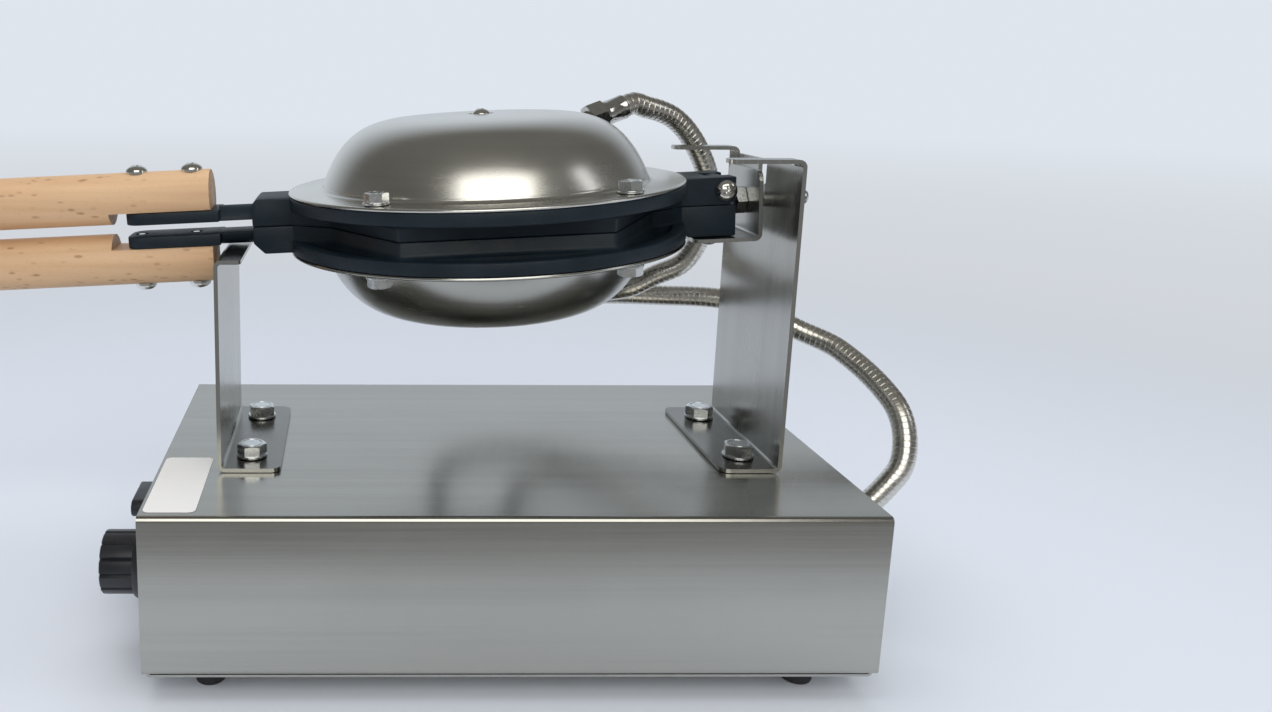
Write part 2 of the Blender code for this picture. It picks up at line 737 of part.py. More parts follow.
def stand_bolt():
    """Hex bolt with its washer above the stand's foot and its nut below the base's top sheet."""
    seat = SEAT_GAP
    washer_top = seat + STAND_WASHER_THICKNESS
    under = -(STAND_SHEET + BASE_SHEET + 2 * SEAT_GAP)
    nut_low = under - STAND_BOLT_NUT
    end = nut_low - STAND_BOLT_TAIL
    bolt = turned([
        (0, washer_top + SEAT_GAP),
        (STAND_WASHER_RADIUS, washer_top),
        (STAND_WASHER_RADIUS, seat),
        (STAND_BOLT_RADIUS, seat),
        (STAND_BOLT_RADIUS, end),
        (0, end),
    ], SMALL_SIDES)
    head = hexagon(STAND_BOLT_ACROSS, seat + STAND_WASHER_THICKNESS / 2, washer_top + STAND_BOLT_HEAD)
    nut = hexagon(STAND_BOLT_ACROSS, nut_low, under)
    return join(bolt, head, nut)


# Moulds, in a frame with Z pointing away from the parting plane

def cells():
    """The egg cells' centres: a hexagon of rings about the middle."""
    places = []
    for i in range(-CELL_RINGS, CELL_RINGS + 1):
        for j in range(-CELL_RINGS, CELL_RINGS + 1):
            if abs(i + j) <= CELL_RINGS:
                places.append((CELL_PITCH * (i + j / 2), CELL_PITCH * j * math.sqrt(3) / 2))
    return places


def cell_cutter():
    bm = bmesh.new()
    for x, y in cells():
        matrix = Matrix.Translation((x, y, 0)) @ Matrix.Diagonal((CELL_RADIUS, CELL_RADIUS, CELL_DEPTH, 1))
        bmesh.ops.create_uvsphere(
            bm, u_segments=CELL_SIDES, v_segments=CELL_RINGS_OF_FACETS, radius=1, matrix=matrix,
        )
    return as_object("cells", bm)


def cover_bolt_places():
    along = COVER_BOLT_CIRCLE * math.cos(COVER_BOLT_ANGLE)
    across = COVER_BOLT_CIRCLE * math.sin(COVER_BOLT_ANGLE)
    return [(along, across), (-along, across), (-along, -across), (along, -across)]


def handle_screw_places():
    first = NECK_END + HANDLE_SCREW_FRONT
    return (-first, -first - HANDLE_SCREW_SPACING)


POST_TOP = COVER_TOP + DOME_HEIGHT - DIMPLE_DEPTH - COVER_SHEET - SEAT_GAP
HINGE_CLEAR = HINGE_RISE - PARTING_GAP


def mould_half(upper):
    low = PARTING_GAP
    sixth = math.radians(30)
    body = bar(HEX_RADIUS, low, (HEX_THICKNESS + RIM_TOP) / 2, sides=6, turn=sixth)
    join(body, bar(RIM_RADIUS, HEX_THICKNESS, RIM_TOP, LARGE_SIDES))
    join(body, bar(POST_RADIUS, (HEX_THICKNESS + RIM_TOP) / 2, POST_TOP))
    chamfer = LUG_CHAMFER / 2 if upper else LUG_CHAMFER
    lug = upright_outline([
        (-FRONT_LUG_START, low),
        (-FRONT_LUG_START, RIM_TOP),
        (-FRONT_LUG_END + chamfer, RIM_TOP),
        (-FRONT_LUG_END, RIM_TOP - chamfer),
        (-FRONT_LUG_END, low),
    ], -LUG_HALF_WIDTH, LUG_HALF_WIDTH)
    inside = (FRONT_LUG_END + FRONT_LUG_START) / 2
    neck = across_bar(NECK_RADIUS, -NECK_END, -inside, 0, 0, ROUND_SIDES)
    far = NECK_RADIUS + CUT_OVERRUN
    cut(neck, box((-NECK_END - CUT_OVERRUN, -far, -far), (-inside + CUT_OVERRUN, far, TANG_LOW)))
    tang = box(
        (-TANG_END, -TANG_WIDTH / 2, TANG_LOW),
        (-NECK_END + TANG_OVERLAP, TANG_WIDTH / 2, TANG_HIGH),
    )
    round_corners(tang, 2, lambda p: p.x < -TANG_END + SEAT_GAP, TANG_CORNER)
    join(body, lug, neck, tang)
    for x in handle_screw_places():
        hole = bar(HANDLE_SCREW_RADIUS + SEAT_GAP, TANG_LOW - CUT_OVERRUN, TANG_HIGH + CUT_OVERRUN)
        cut(body, moved(hole, x=x))
    if upper:
        rear_fork(body)
    else:
        rear_tongue(body)
    pin_z = HINGE_RISE if upper else -HINGE_RISE
    pin_hole = bar(HINGE_RADIUS + SEAT_GAP, -LUG_HALF_WIDTH - CUT_OVERRUN, LUG_HALF_WIDTH + CUT_OVERRUN)
    cut(body, moved(turned_about(pin_hole, math.pi / 2, "X"), x=HINGE_OFFSET, z=pin_z))
    for x, y in cover_bolt_places():
        bottom = COVER_TOP - COVER_BOLT_LENGTH - 2 * SEAT_GAP
        hole = bar(COVER_BOLT_RADIUS + SEAT_GAP, bottom, RIM_TOP + CUT_OVERRUN)
        cut(body, moved(hole, x=x, y=y))
    centre_bottom = POST_TOP + COVER_SHEET + SEAT_GAP - CENTRE_SCREW_LENGTH - SEAT_GAP
    cut(body, bar(CENTRE_SCREW_RADIUS + SEAT_GAP, centre_bottom, POST_TOP + CUT_OVERRUN))
    web = bar(HEX_RADIUS - WEB_MARGIN, -CUT_OVERRUN, low + WEB_DEPTH, sides=6, turn=sixth)
    cut(body, web, cell_cutter())
    return body


def rear_fork(body):
    low = PARTING_GAP
    lean = math.degrees(math.acos((REAR_LUG_END - HINGE_OFFSET) / HINGE_CLEAR))
    heel = arc(HINGE_OFFSET, HINGE_RISE, HINGE_CLEAR, -lean, -90, 5)
    side = [(REAR_LUG_START, low), (REAR_LUG_START, RIM_TOP), (REAR_LUG_END, RIM_TOP)] + heel
    join(body, upright_outline(side, -LUG_HALF_WIDTH, LUG_HALF_WIDTH))
    half = TONGUE_HALF_WIDTH + SEAT_GAP
    cut(body, box(
        (HINGE_OFFSET - TONGUE_RADIUS - TONGUE_PLAY, -half, low - CUT_OVERRUN),
        (REAR_LUG_END + CUT_OVERRUN, half, RIM_TOP + CUT_OVERRUN),
    ))


def rear_tongue(body):
    low = PARTING_GAP
    side = [
        (REAR_LUG_START, low), (REAR_LUG_START, RIM_TOP), (REAR_PAD_START, RIM_TOP),
        (REAR_PAD_START, REAR_PAD_TOP), (REAR_LUG_END, REAR_PAD_TOP), (REAR_LUG_END, low),
    ]
    join(body, upright_outline(side, -LUG_HALF_WIDTH, LUG_HALF_WIDTH))
    eye = arc(HINGE_OFFSET, -HINGE_RISE, TONGUE_RADIUS, 180, 360, 10)
    root = (HINGE_OFFSET + TONGUE_RADIUS, RIM_TOP / 2)
    other = (HINGE_OFFSET - TONGUE_RADIUS, RIM_TOP / 2)
    if REAR_LUG_END < root[0]:
        root = (REAR_LUG_END - TONGUE_ROOT_INSET, RIM_TOP / 2)
    join(body, upright_outline(eye + [root, other], -TONGUE_HALF_WIDTH, TONGUE_HALF_WIDTH))
    for y in (-BRACKET_SCREW_SPREAD, BRACKET_SCREW_SPREAD):
        bottom = REAR_PAD_TOP - BRACKET_SCREW_LENGTH
        hole = bar(BRACKET_SCREW_RADIUS + SEAT_GAP, bottom, REAR_PAD_TOP + CUT_OVERRUN)
        cut(body, moved(hole, x=BRACKET_SCREW_OFFSET, y=y))


# Domes

def dome_point(turn, radius, height):
    """A point of the dome's section at a parameter from its foot (0) to its top (a right angle)."""
    return (
        radius * math.cos(turn) ** (2 / DOME_SQUARENESS),
        COVER_TOP + height * math.sin(turn) ** (2 / DOME_SLOPE),
    )


def dome_cover():
    top = COVER_TOP + DOME_HEIGHT
    hole = CENTRE_SCREW_RADIUS + SEAT_GAP
    steps = 6
    last = math.radians(84)
    outer = [dome_point(last * (1 - k / steps), DOME_RADIUS, DOME_HEIGHT) for k in range(steps)]
    inside = 5
    inner = [
        dome_point(last * k / inside, DOME_RADIUS - COVER_SHEET, DOME_HEIGHT - COVER_SHEET)
        for k in range(1, inside + 1)
    ]
    foot = DOME_RADIUS + DOME_FOOT_RADIUS
    profile = [
        (hole, top - DIMPLE_DEPTH), (DIMPLE_RADIUS * 2 / 3, top - DIMPLE_DEPTH), (DIMPLE_RADIUS, top),
        *outer,
        (DOME_RADIUS, COVER_TOP + DOME_FOOT_RADIUS), (foot, COVER_TOP), (RIM_RADIUS, COVER_TOP),
        (RIM_RADIUS, COVER_SEAT), (foot - COVER_SHEET, COVER_SEAT),
        (DOME_RADIUS - COVER_SHEET, COVER_TOP + DOME_FOOT_RADIUS),
        *inner,
        (DIMPLE_RADIUS, top - COVER_SHEET),
        (DIMPLE_RADIUS * 2 / 3, top - DIMPLE_DEPTH - COVER_SHEET),
        (hole, top - DIMPLE_DEPTH - COVER_SHEET),
    ]
    cover = turned(profile, LARGE_SIDES, closed=True)
    for x, y in cover_bolt_places():
        bolt_hole = bar(COVER_BOLT_RADIUS + SEAT_GAP, COVER_SEAT - CUT_OVERRUN, COVER_TOP + CUT_OVERRUN)
        cut(cover, moved(bolt_hole, x=x, y=y))
    return cover


def lower_gland_pose(azimuth):
    """Where a connector stands square on the lower dome, from the mould's centre, and which way."""
    r, z = dome_point(LOWER_GLAND_SHARE, DOME_RADIUS, DOME_HEIGHT)
    out = DOME_SQUARENESS * math.cos(LOWER_GLAND_SHARE) ** (2 - 2 / DOME_SQUARENESS) / DOME_RADIUS
    down = DOME_SLOPE * math.sin(LOWER_GLAND_SHARE) ** (2 - 2 / DOME_SLOPE) / DOME_HEIGHT
    lean = math.atan2(down, out)
    place_at = Vector((r * math.cos(azimuth), r * math.sin(azimuth), -z))
    way = Vector((math.cos(lean) * math.cos(azimuth), math.cos(lean) * math.sin(azimuth), -math.sin(lean)))
    return place_at, way


def upper_gland_pose():
    return (
        Vector((
            DOME_RADIUS * UPPER_GLAND_ALONG_SHARE,
            DOME_RADIUS * UPPER_GLAND_ACROSS_SHARE,
            COVER_TOP + DOME_HEIGHT * UPPER_GLAND_RISE_SHARE,
        )),
        Vector(UPPER_GLAND_WAY_SHARES).normalized(),
    )


def gland_hole(point, way, depth):
    hole = bar(GLAND_STUB_RADIUS + SEAT_GAP, -depth, depth, ROUND_SIDES)
    pointed(hole, way)
    return moved(hole, *point)


def gland(inside, start, nut_length, ferrule_length):
    """A conduit connector along Z: a stub through the wall, a hex body and a ferrule."""
    nut_end = start + nut_length
    end = nut_end + ferrule_length
    body = turned([
        (0, end), (GLAND_FERRULE_RADIUS, end), (GLAND_FERRULE_RADIUS, nut_end),
        (GLAND_STUB_RADIUS, nut_end - nut_length / 2), (GLAND_STUB_RADIUS, -inside), (0, -inside),
    ])
    join(body, hexagon(GLAND_NUT_ACROSS, start, nut_end))
    return cut(body, bar(GLAND_BORE_RADIUS, -inside - CUT_OVERRUN, end + CUT_OVERRUN))


def hex_screw(radius, length, washer_radius, washer, across, head):
    """A hex screw along -Z with its seat at zero."""
    body = turned([
        (0, washer + SEAT_GAP), (washer_radius, washer), (washer_radius, 0),
        (radius, 0), (radius, -length), (0, -length),
    ], SMALL_SIDES)
    return join(body, hexagon(across, washer / 2, washer + head))


def round_screw(radius, length, head_radius, head):
    """A screw along -Z with a domed head and its seat at zero."""
    profile = [(0, head)]
    for k in (1, 2, 3):
        angle = math.radians(90 - 30 * k)
        profile.append((head_radius * math.cos(angle), head * math.sin(angle)))
    profile += [(radius, 0), (radius, -length), (0, -length)]
    body = turned(profile, SMALL_SIDES)
    return body


def heater():
    """A ring-shaped heating element that lies on the back of the casting."""
    low = RIM_TOP + SEAT_GAP
    ring = [
        (
            HEATER_RING_RADIUS + HEATER_TUBE_RADIUS * math.cos(math.radians(60 * k)),
            low + HEATER_TUBE_RADIUS + HEATER_TUBE_RADIUS * math.sin(math.radians(60 * k)),
        )
        for k in range(6)
    ]
    return turned(list(reversed(ring)), ROUND_SIDES, closed=True)


# Handles

def handle():
    """A turned beech handle along X with a half lap over the tang, in the mould's frame."""
    steps = 4
    rounded = [
        (
            HANDLE_RADIUS - HANDLE_END_ROUND + HANDLE_END_ROUND * math.sin(math.radians(90 * k / steps)),
            HANDLE_LENGTH - HANDLE_END_ROUND + HANDLE_END_ROUND * math.cos(math.radians(90 * k / steps)),
        )
        for k in range(steps + 1)
    ]
    grip = turned([(0, HANDLE_LENGTH), *rounded, (HANDLE_RADIUS, 0), (0, 0)], ROUND_SIDES)
    turned_about(grip, -math.pi / 2, "Y")
    moved(grip, x=-HANDLE_FRONT, z=HANDLE_RISE)
    wide = HANDLE_RADIUS + CUT_OVERRUN
    cut(grip, box(
        (-HANDLE_FRONT - HANDLE_LAP_LENGTH, -wide, 0),
        (-HANDLE_FRONT + CUT_OVERRUN, wide, TANG_HIGH + SEAT_GAP),
    ))
    for x in handle_screw_places():
        hole = bar(HANDLE_SCREW_RADIUS + SEAT_GAP, 0, HANDLE_RISE + HANDLE_RADIUS + CUT_OVERRUN)
        cut(grip, moved(hole, x=x))
    return grip


# Pivot and bracket, in the head's frame with the pivot at its origin

BRACKET_INNER = -BRACKET_FROM_PIVOT - BRACKET_SHEET
SPACER_START = -BRACKET_FROM_PIVOT + SEAT_GAP
WASHER_START = STAND_SHEET / 2 + PIVOT_WASHER_PLAY
END_NUT_START = WASHER_START + PIVOT_WASHER_THICKNESS + SEAT_GAP


def head_bracket():
    low = -(REAR_PAD_TOP + SEAT_GAP + BRACKET_SHEET)
    outer = -BRACKET_FROM_PIVOT
    corners = [(outer, BRACKET_TOP), (outer, low), (outer - BRACKET_FOOT_LENGTH, low)]
    plate = folded_strip(corners, BRACKET_SHEET, BRACKET_WIDTH, STAND_FOLD_RADIUS)
    tip = outer - BRACKET_FOOT_LENGTH + SEAT_GAP
    round_corners(plate, 0, lambda p: p.z > BRACKET_TOP - SEAT_GAP, BRACKET_CORNER)
    round_corners(plate, 2, lambda p: p.x < tip, BRACKET_CORNER)
    bolt_hole = across_bar(
        PIVOT_BOLT_RADIUS + SEAT_GAP, BRACKET_INNER - CUT_OVERRUN, outer + CUT_OVERRUN,
        0, 0, ROUND_SIDES,
    )
    cut(plate, bolt_hole)
    for y in (-BRACKET_SCREW_SPREAD, BRACKET_SCREW_SPREAD):
        hole = bar(BRACKET_SCREW_RADIUS + SEAT_GAP, low - CUT_OVERRUN, low + BRACKET_SHEET + CUT_OVERRUN)
        cut(plate, moved(hole, x=BRACKET_SCREW_OFFSET - MOULD_TO_PIVOT, y=y))
    return plate


def pivot_bolt():
    head_end = BRACKET_INNER - SEAT_GAP
    end = END_NUT_START + PIVOT_NUT_HEIGHT + PIVOT_BOLT_TAIL
    bolt = bar(PIVOT_BOLT_RADIUS, head_end - PIVOT_HEAD_HEIGHT / 2, end, SMALL_SIDES)
    join(bolt, hexagon(PIVOT_BOLT_ACROSS, head_end - PIVOT_HEAD_HEIGHT, head_end))
    return turned_about(bolt, math.pi / 2, "Y")


def pivot_ring(start, thickness, across=None, radius=None):
    """A nut or a washer on the pivot bolt."""
    if across:
        ring = hexagon(across, start, start + thickness)
    else:
        ring = bar(radius, start, start + thickness, ROUND_SIDES)
    cut(ring, bar(PIVOT_BOLT_RADIUS + SEAT_GAP, start - CUT_OVERRUN, start + thickness + CUT_OVERRUN))
    return turned_about(ring, math.pi / 2, "Y")


# Controls

def knob_skirt():
    low = KNOB_PANEL_GAP
    lip = low + KNOB_SKIRT_HEIGHT / 6
    return turned([
        (0, KNOB_SKIRT_HEIGHT + SEAT_GAP),
        (KNOB_NECK_RADIUS, KNOB_SKIRT_HEIGHT),
        (KNOB_NECK_RADIUS + KNOB_SKIRT_HEIGHT / 8, KNOB_SKIRT_HEIGHT / 2),
        (KNOB_SKIRT_RADIUS, lip),
        (KNOB_SKIRT_RADIUS, low),
        (0, low),
    ])


def knob_bore(knob):
    return cut(knob, bar(SPINDLE_RADIUS + SEAT_GAP, -CUT_OVERRUN, KNOB_BORE_DEPTH))


def fluted_knob():
    count = KNOB_FLUTES * 4
    points = []
    for k in range(count):
        angle = 2 * math.pi * k / count
        radius = KNOB_GRIP_RADIUS - KNOB_FLUTE_DEPTH * (1 - math.cos(angle * KNOB_FLUTES)) / 2
        points.append((radius * math.cos(angle), radius * math.sin(angle)))
    grip = outline(points, KNOB_SKIRT_HEIGHT / 2, KNOB_SKIRT_HEIGHT + KNOB_GRIP_HEIGHT)
    return knob_bore(join(knob_skirt(), grip))


def bar_knob():
    end = KNOB_BAR_LENGTH / 2 - KNOB_BAR_WIDTH / 2
    points = arc(0, end, KNOB_BAR_WIDTH / 2, 0, 180, 6) + arc(0, -end, KNOB_BAR_WIDTH / 2, 180, 360, 6)
    grip = outline(points, KNOB_SKIRT_HEIGHT / 2, KNOB_SKIRT_HEIGHT + KNOB_GRIP_HEIGHT)
    return knob_bore(join(knob_skirt(), grip))


CONTROL_BODY_FACE = -(CONTROL_PLATE_THICKNESS + BASE_SHEET + 2 * SEAT_GAP)


def spindle():
    return bar(SPINDLE_RADIUS, CONTROL_BODY_FACE + SEAT_GAP, KNOB_BORE_DEPTH - SEAT_GAP)


def control_body():
    half = CONTROL_BODY_SIZE / 2
    return box((-half, -half, CONTROL_BODY_FACE - CONTROL_BODY_DEPTH), (half, half, CONTROL_BODY_FACE))


def lamp():
    top = LAMP_BEZEL_HEIGHT
    return turned([
        (0, top + LAMP_LENS_HEIGHT),
        (LAMP_RADIUS * 2 / 3, top + LAMP_LENS_HEIGHT * 3 / 4),
        (LAMP_RADIUS, top),
        (LAMP_BEZEL_RADIUS, top),
        (LAMP_BEZEL_RADIUS, SEAT_GAP),
        (LAMP_RADIUS, SEAT_GAP),
        (LAMP_RADIUS, -LAMP_TAIL),
        (0, -LAMP_TAIL),
    ], SMALL_SIDES)


def mains_gland():
    inside = MAINS_GLAND_TAIL
    body = turned([
        (0, MAINS_REACH + END_WALL_INSET),
        (MAINS_GLAND_STUB, MAINS_REACH + END_WALL_INSET),
        (MAINS_GLAND_RADIUS, MAINS_GLAND_HEIGHT * 2 / 3),
        (MAINS_GLAND_RADIUS, SEAT_GAP),
        (MAINS_GLAND_STUB, SEAT_GAP),
        (MAINS_GLAND_STUB, -inside),
        (0, -inside),
    ])
    join(body, hexagon(MAINS_GLAND_ACROSS, SEAT_GAP, MAINS_GLAND_HEIGHT / 3))
    return cut(body, bar(MAINS_GLAND_BORE, -inside - CUT_OVERRUN, MAINS_GLAND_HEIGHT + CUT_OVERRUN))


def base_gland():
    inside = BASE_GLAND_TAIL
    nut = SEAT_GAP + BASE_GLAND_NUT_LENGTH
    end = nut + BASE_GLAND_COLLAR
    body = turned([
        (0, end), (GLAND_FERRULE_RADIUS, end), (GLAND_FERRULE_RADIUS, nut),
        (BASE_GLAND_FLANGE, nut), (BASE_GLAND_FLANGE, SEAT_GAP),
        (GLAND_STUB_RADIUS, SEAT_GAP), (GLAND_STUB_RADIUS, -inside), (0, -inside),
    ])
    return cut(body, bar(GLAND_BORE_RADIUS, -inside - CUT_OVERRUN, end + CUT_OVERRUN))


BASE_GLAND_REACH = SEAT_GAP + BASE_GLAND_NUT_LENGTH + BASE_GLAND_COLLAR


# Conduits: the points of their routes are chosen by eye, from the base's front right lower corner

LOOP_ROUTE = (
    (-0.0782, 0.1530, 0.2553),
    (-0.0702, 0.1555, 0.2533),
    (-0.0625, 0.1580, 0.2501),
    (-0.0555, 0.1600, 0.2449),
    (-0.0502, 0.1615, 0.2392),
    (-0.0452, 0.1630, 0.2323),
    (-0.0382, 0.1655, 0.2191),
    (-0.0323, 0.1680, 0.1982),
    (-0.0378, 0.1690, 0.1790),
    (-0.0466, 0.1700, 0.1637),
    (-0.0623, 0.1720, 0.1553),
    (-0.0781, 0.1760, 0.1465),
    (-0.0980, 0.1880, 0.1420),
    (-0.1160, 0.2000, 0.1430),
)
SUPPLY_ROUTE = (
    (-0.1800, 0.2110, 0.1400),
    (-0.1550, 0.2170, 0.1330),
    (-0.1200, 0.2150, 0.1320),
    (-0.0900, 0.2060, 0.1360),
    (-0.0548, 0.1940, 0.1381),
    (-0.0182, 0.1760, 0.1398),
    (0.0006, 0.1670, 0.1346),
    (0.0197, 0.1580, 0.1258),
    (0.0385, 0.1420, 0.1175),
    (0.0529, 0.1080, 0.0987),
    (0.0543, 0.0940, 0.0820),
    (0.0472, 0.0870, 0.0632),
)


def from_corner(point):
    return Vector((BASE_RIGHT + point[0], point[1] - BASE_DEPTH / 2, BASE_BOTTOM + point[2]))


def smooth_route(start, start_way, middle, end, end_way):
    """Points close together on a smooth curve, with straight ends one conduit's thickness long."""
    straight = 2 * HOSE_RADIUS
    knots = [start + start_way * straight, *middle, end + end_way * straight]
    ways = [start_way * straight]
    for a, b in zip(knots, knots[2:]):
        ways.append((b - a) / 2)
    ways.append(-end_way * straight)
    fine = [start + start_way * straight * k / 8 for k in range(8)]
    for i in range(len(knots) - 1):
        span = (knots[i + 1] - knots[i]).length
        first = ways[i].normalized() * span
        second = ways[i + 1].normalized() * span
        for k in range(16):
            t = k / 16
            fine.append(
                knots[i] * (2 * t**3 - 3 * t**2 + 1) + first * (t**3 - 2 * t**2 + t)
                + knots[i + 1] * (3 * t**2 - 2 * t**3) + second * (t**3 - t**2)
            )
    fine += [end + end_way * straight * (8 - k) / 8 for k in range(9)]
    return fine


def evenly(points, step):
    """Points at equal distances along a line of points, with both ends."""
    lengths = [0.0]
    for a, b in zip(points, points[1:]):
        lengths.append(lengths[-1] + (b - a).length)
    count = max(2, 2 * round(lengths[-1] / step / 2))
    made = []
    at = 0
    for k in range(count + 1):
        goal = lengths[-1] * k / count
        while at < len(points) - 2 and lengths[at + 1] < goal:
            at += 1
        share = (goal - lengths[at]) / (lengths[at + 1] - lengths[at])
        made.append(points[at].lerp(points[at + 1], min(max(share, 0.0), 1.0)))
    return made, lengths[-1]


def wire(points, radii, sides_resolution):
    curve = bpy.data.curves.new("wire", "CURVE")
    curve.dimensions = "3D"
    curve.bevel_depth = 1
    curve.bevel_resolution = sides_resolution
    curve.use_fill_caps = True
    spline = curve.splines.new("POLY")
    spline.points.add(len(points) - 1)
    for spot, point, radius in zip(spline.points, points, radii):
        spot.co = (*point, 1)
        spot.radius = radius
    obj = bpy.data.objects.new("wire", curve)
    CUTTERS.objects.link(obj)
    return bake(obj)


def least_gap(points, radius):
    """The least gap between two stretches of one conduit."""
    reach = 6 * radius
    least = None
    for i, a in enumerate(points):
        run = 0.0
        for b, c in zip(points[i:], points[i + 1:]):
            run += (c - b).length
            if run > reach:
                gap = (c - a).length - 2 * radius
                least = gap if least is None else min(least, gap)
    return least


def conduit(name, start, start_way, route, end, end_way):
    middle = [from_corner(p) for p in route]
    fine = smooth_route(start, start_way, middle, end, end_way)
    points, length = evenly(fine, HOSE_PITCH / 2)
    radii = [HOSE_RADIUS * (1 if k % 2 == 0 else HOSE_GROOVE_SHARE) for k in range(len(points))]
    hose = wire(points, radii, 2)
    coarse, _ = evenly(fine, HOSE_PITCH * 3)
    coarse[0] = coarse[0] - start_way * CUT_OVERRUN
    coarse[-1] = coarse[-1] - end_way * CUT_OVERRUN
    bore = wire(coarse, [HOSE_BORE_RADIUS] * len(coarse), 2)
    cut(hose, bore)
    print(f"{name}: length {length:.4f} m, least gap to itself {least_gap(points, HOSE_RADIUS):.4f} m")
    return hose


# Putting it together

half_turn = math.pi

place("base_cover", base_cover(), STEEL)
place("base_tray", base_tray(), STEEL)
place("control_plate", control_plate(), EDGE)
foot_shape = foot()
for number, (x, y) in enumerate(feet_places(), 1):
    place(f"foot_{number}", copy_of(foot_shape), RUBBER, (x, y, 0))
bpy.data.objects.remove(foot_shape, do_unlink=True)
place("front_upright", front_upright(), STEEL)
place("rear_upright", rear_upright(), STEEL)
bolt_shape = stand_bolt()
for number, (x, y) in enumerate(stand_bolt_places(), 1):
    place(
        f"upright_bolt_{number}", copy_of(bolt_shape), ZINC,
        (x, y, BASE_TOP + SEAT_GAP + STAND_SHEET), (0, 0, math.radians(35 * number)),
    )
bpy.data.objects.remove(bolt_shape, do_unlink=True)

lift = axis_empty("head_lift_axis", (PIVOT_X, 0, PIVOT_Z), (0, -HEAD_TILT, 0))
flip = axis_empty("head_flip_axis", (0, 0, 0), parent=lift)
hinge = axis_empty("mould_hinge_axis", (HINGE_OFFSET - MOULD_TO_PIVOT, 0, HINGE_RISE), parent=flip)


def on_lower(name, obj, look, point=(0, 0, 0), rotation=(0, 0, 0)):
    x, y, z = point
    return place(name, obj, look, (x - MOULD_TO_PIVOT, y, z), rotation, flip)


def on_upper(name, obj, look, point=(0, 0, 0), rotation=(0, 0, 0)):
    x, y, z = point
    return place(name, obj, look, (x - HINGE_OFFSET, y, z - HINGE_RISE), rotation, hinge)


place("pivot_bolt", pivot_bolt(), ZINC, parent=lift)
spacer = pivot_ring(SPACER_START, PIVOT_SPACER_HEIGHT, across=PIVOT_BOLT_ACROSS)
place("pivot_spacer_nut", spacer, ZINC, parent=lift)
washer = pivot_ring(WASHER_START, PIVOT_WASHER_THICKNESS, radius=PIVOT_WASHER_RADIUS)
place("pivot_washer", washer, ZINC, parent=lift)
end_nut = pivot_ring(END_NUT_START, PIVOT_NUT_HEIGHT, across=PIVOT_BOLT_ACROSS)
place("pivot_end_nut", end_nut, ZINC, parent=lift)

place("head_bracket", head_bracket(), STEEL, parent=flip)
screw_low = -(REAR_PAD_TOP + SEAT_GAP + BRACKET_SHEET + SEAT_GAP)
for number, y in enumerate((-BRACKET_SCREW_SPREAD, BRACKET_SCREW_SPREAD), 1):
    screw = round_screw(
        BRACKET_SCREW_RADIUS, BRACKET_SCREW_LENGTH, BRACKET_SCREW_HEAD, BRACKET_SCREW_HEAD_HEIGHT,
    )
    spot = (BRACKET_SCREW_OFFSET, y, screw_low)
    on_lower(f"bracket_screw_{number}", screw, ZINC, spot, (half_turn, 0, 0))

pin_half = LUG_HALF_WIDTH + SEAT_GAP
pin_length = 2 * pin_half + SEAT_GAP + HINGE_NUT_HEIGHT + HINGE_TAIL
pin = round_screw(HINGE_RADIUS, pin_length, HINGE_HEAD_RADIUS, HINGE_HEAD_HEIGHT)
on_lower("hinge_pin", pin, CHROME, (HINGE_OFFSET, -pin_half, HINGE_RISE), (math.pi / 2, 0, 0))
nut = hexagon(HINGE_NUT_ACROSS, pin_half, pin_half + HINGE_NUT_HEIGHT)
cut(nut, bar(HINGE_RADIUS + SEAT_GAP, pin_half - CUT_OVERRUN, pin_half + HINGE_NUT_HEIGHT + CUT_OVERRUN))
on_lower("hinge_nut", turned_about(nut, -math.pi / 2, "X"), CHROME, (HINGE_OFFSET, 0, HINGE_RISE))

cover_bolt_shape = hex_screw(
    COVER_BOLT_RADIUS, COVER_BOLT_LENGTH, COVER_WASHER_RADIUS, COVER_WASHER_THICKNESS,
    COVER_BOLT_ACROSS, COVER_BOLT_HEAD,
)
handle_screw_seat = HANDLE_RISE + HANDLE_RADIUS + SEAT_GAP
handle_screw_shape = round_screw(
    HANDLE_SCREW_RADIUS, handle_screw_seat - TANG_LOW, HANDLE_SCREW_HEAD, HANDLE_SCREW_HEAD_HEIGHT,
)
centre_seat = COVER_TOP + DOME_HEIGHT - DIMPLE_DEPTH + SEAT_GAP
centre_screw_shape = round_screw(
    CENTRE_SCREW_RADIUS, CENTRE_SCREW_LENGTH, CENTRE_SCREW_HEAD, CENTRE_SCREW_HEAD_HEIGHT,
)
halves = (("lower", on_lower, (half_turn, 0, 0), -1), ("upper", on_upper, (0, 0, 0), 1))
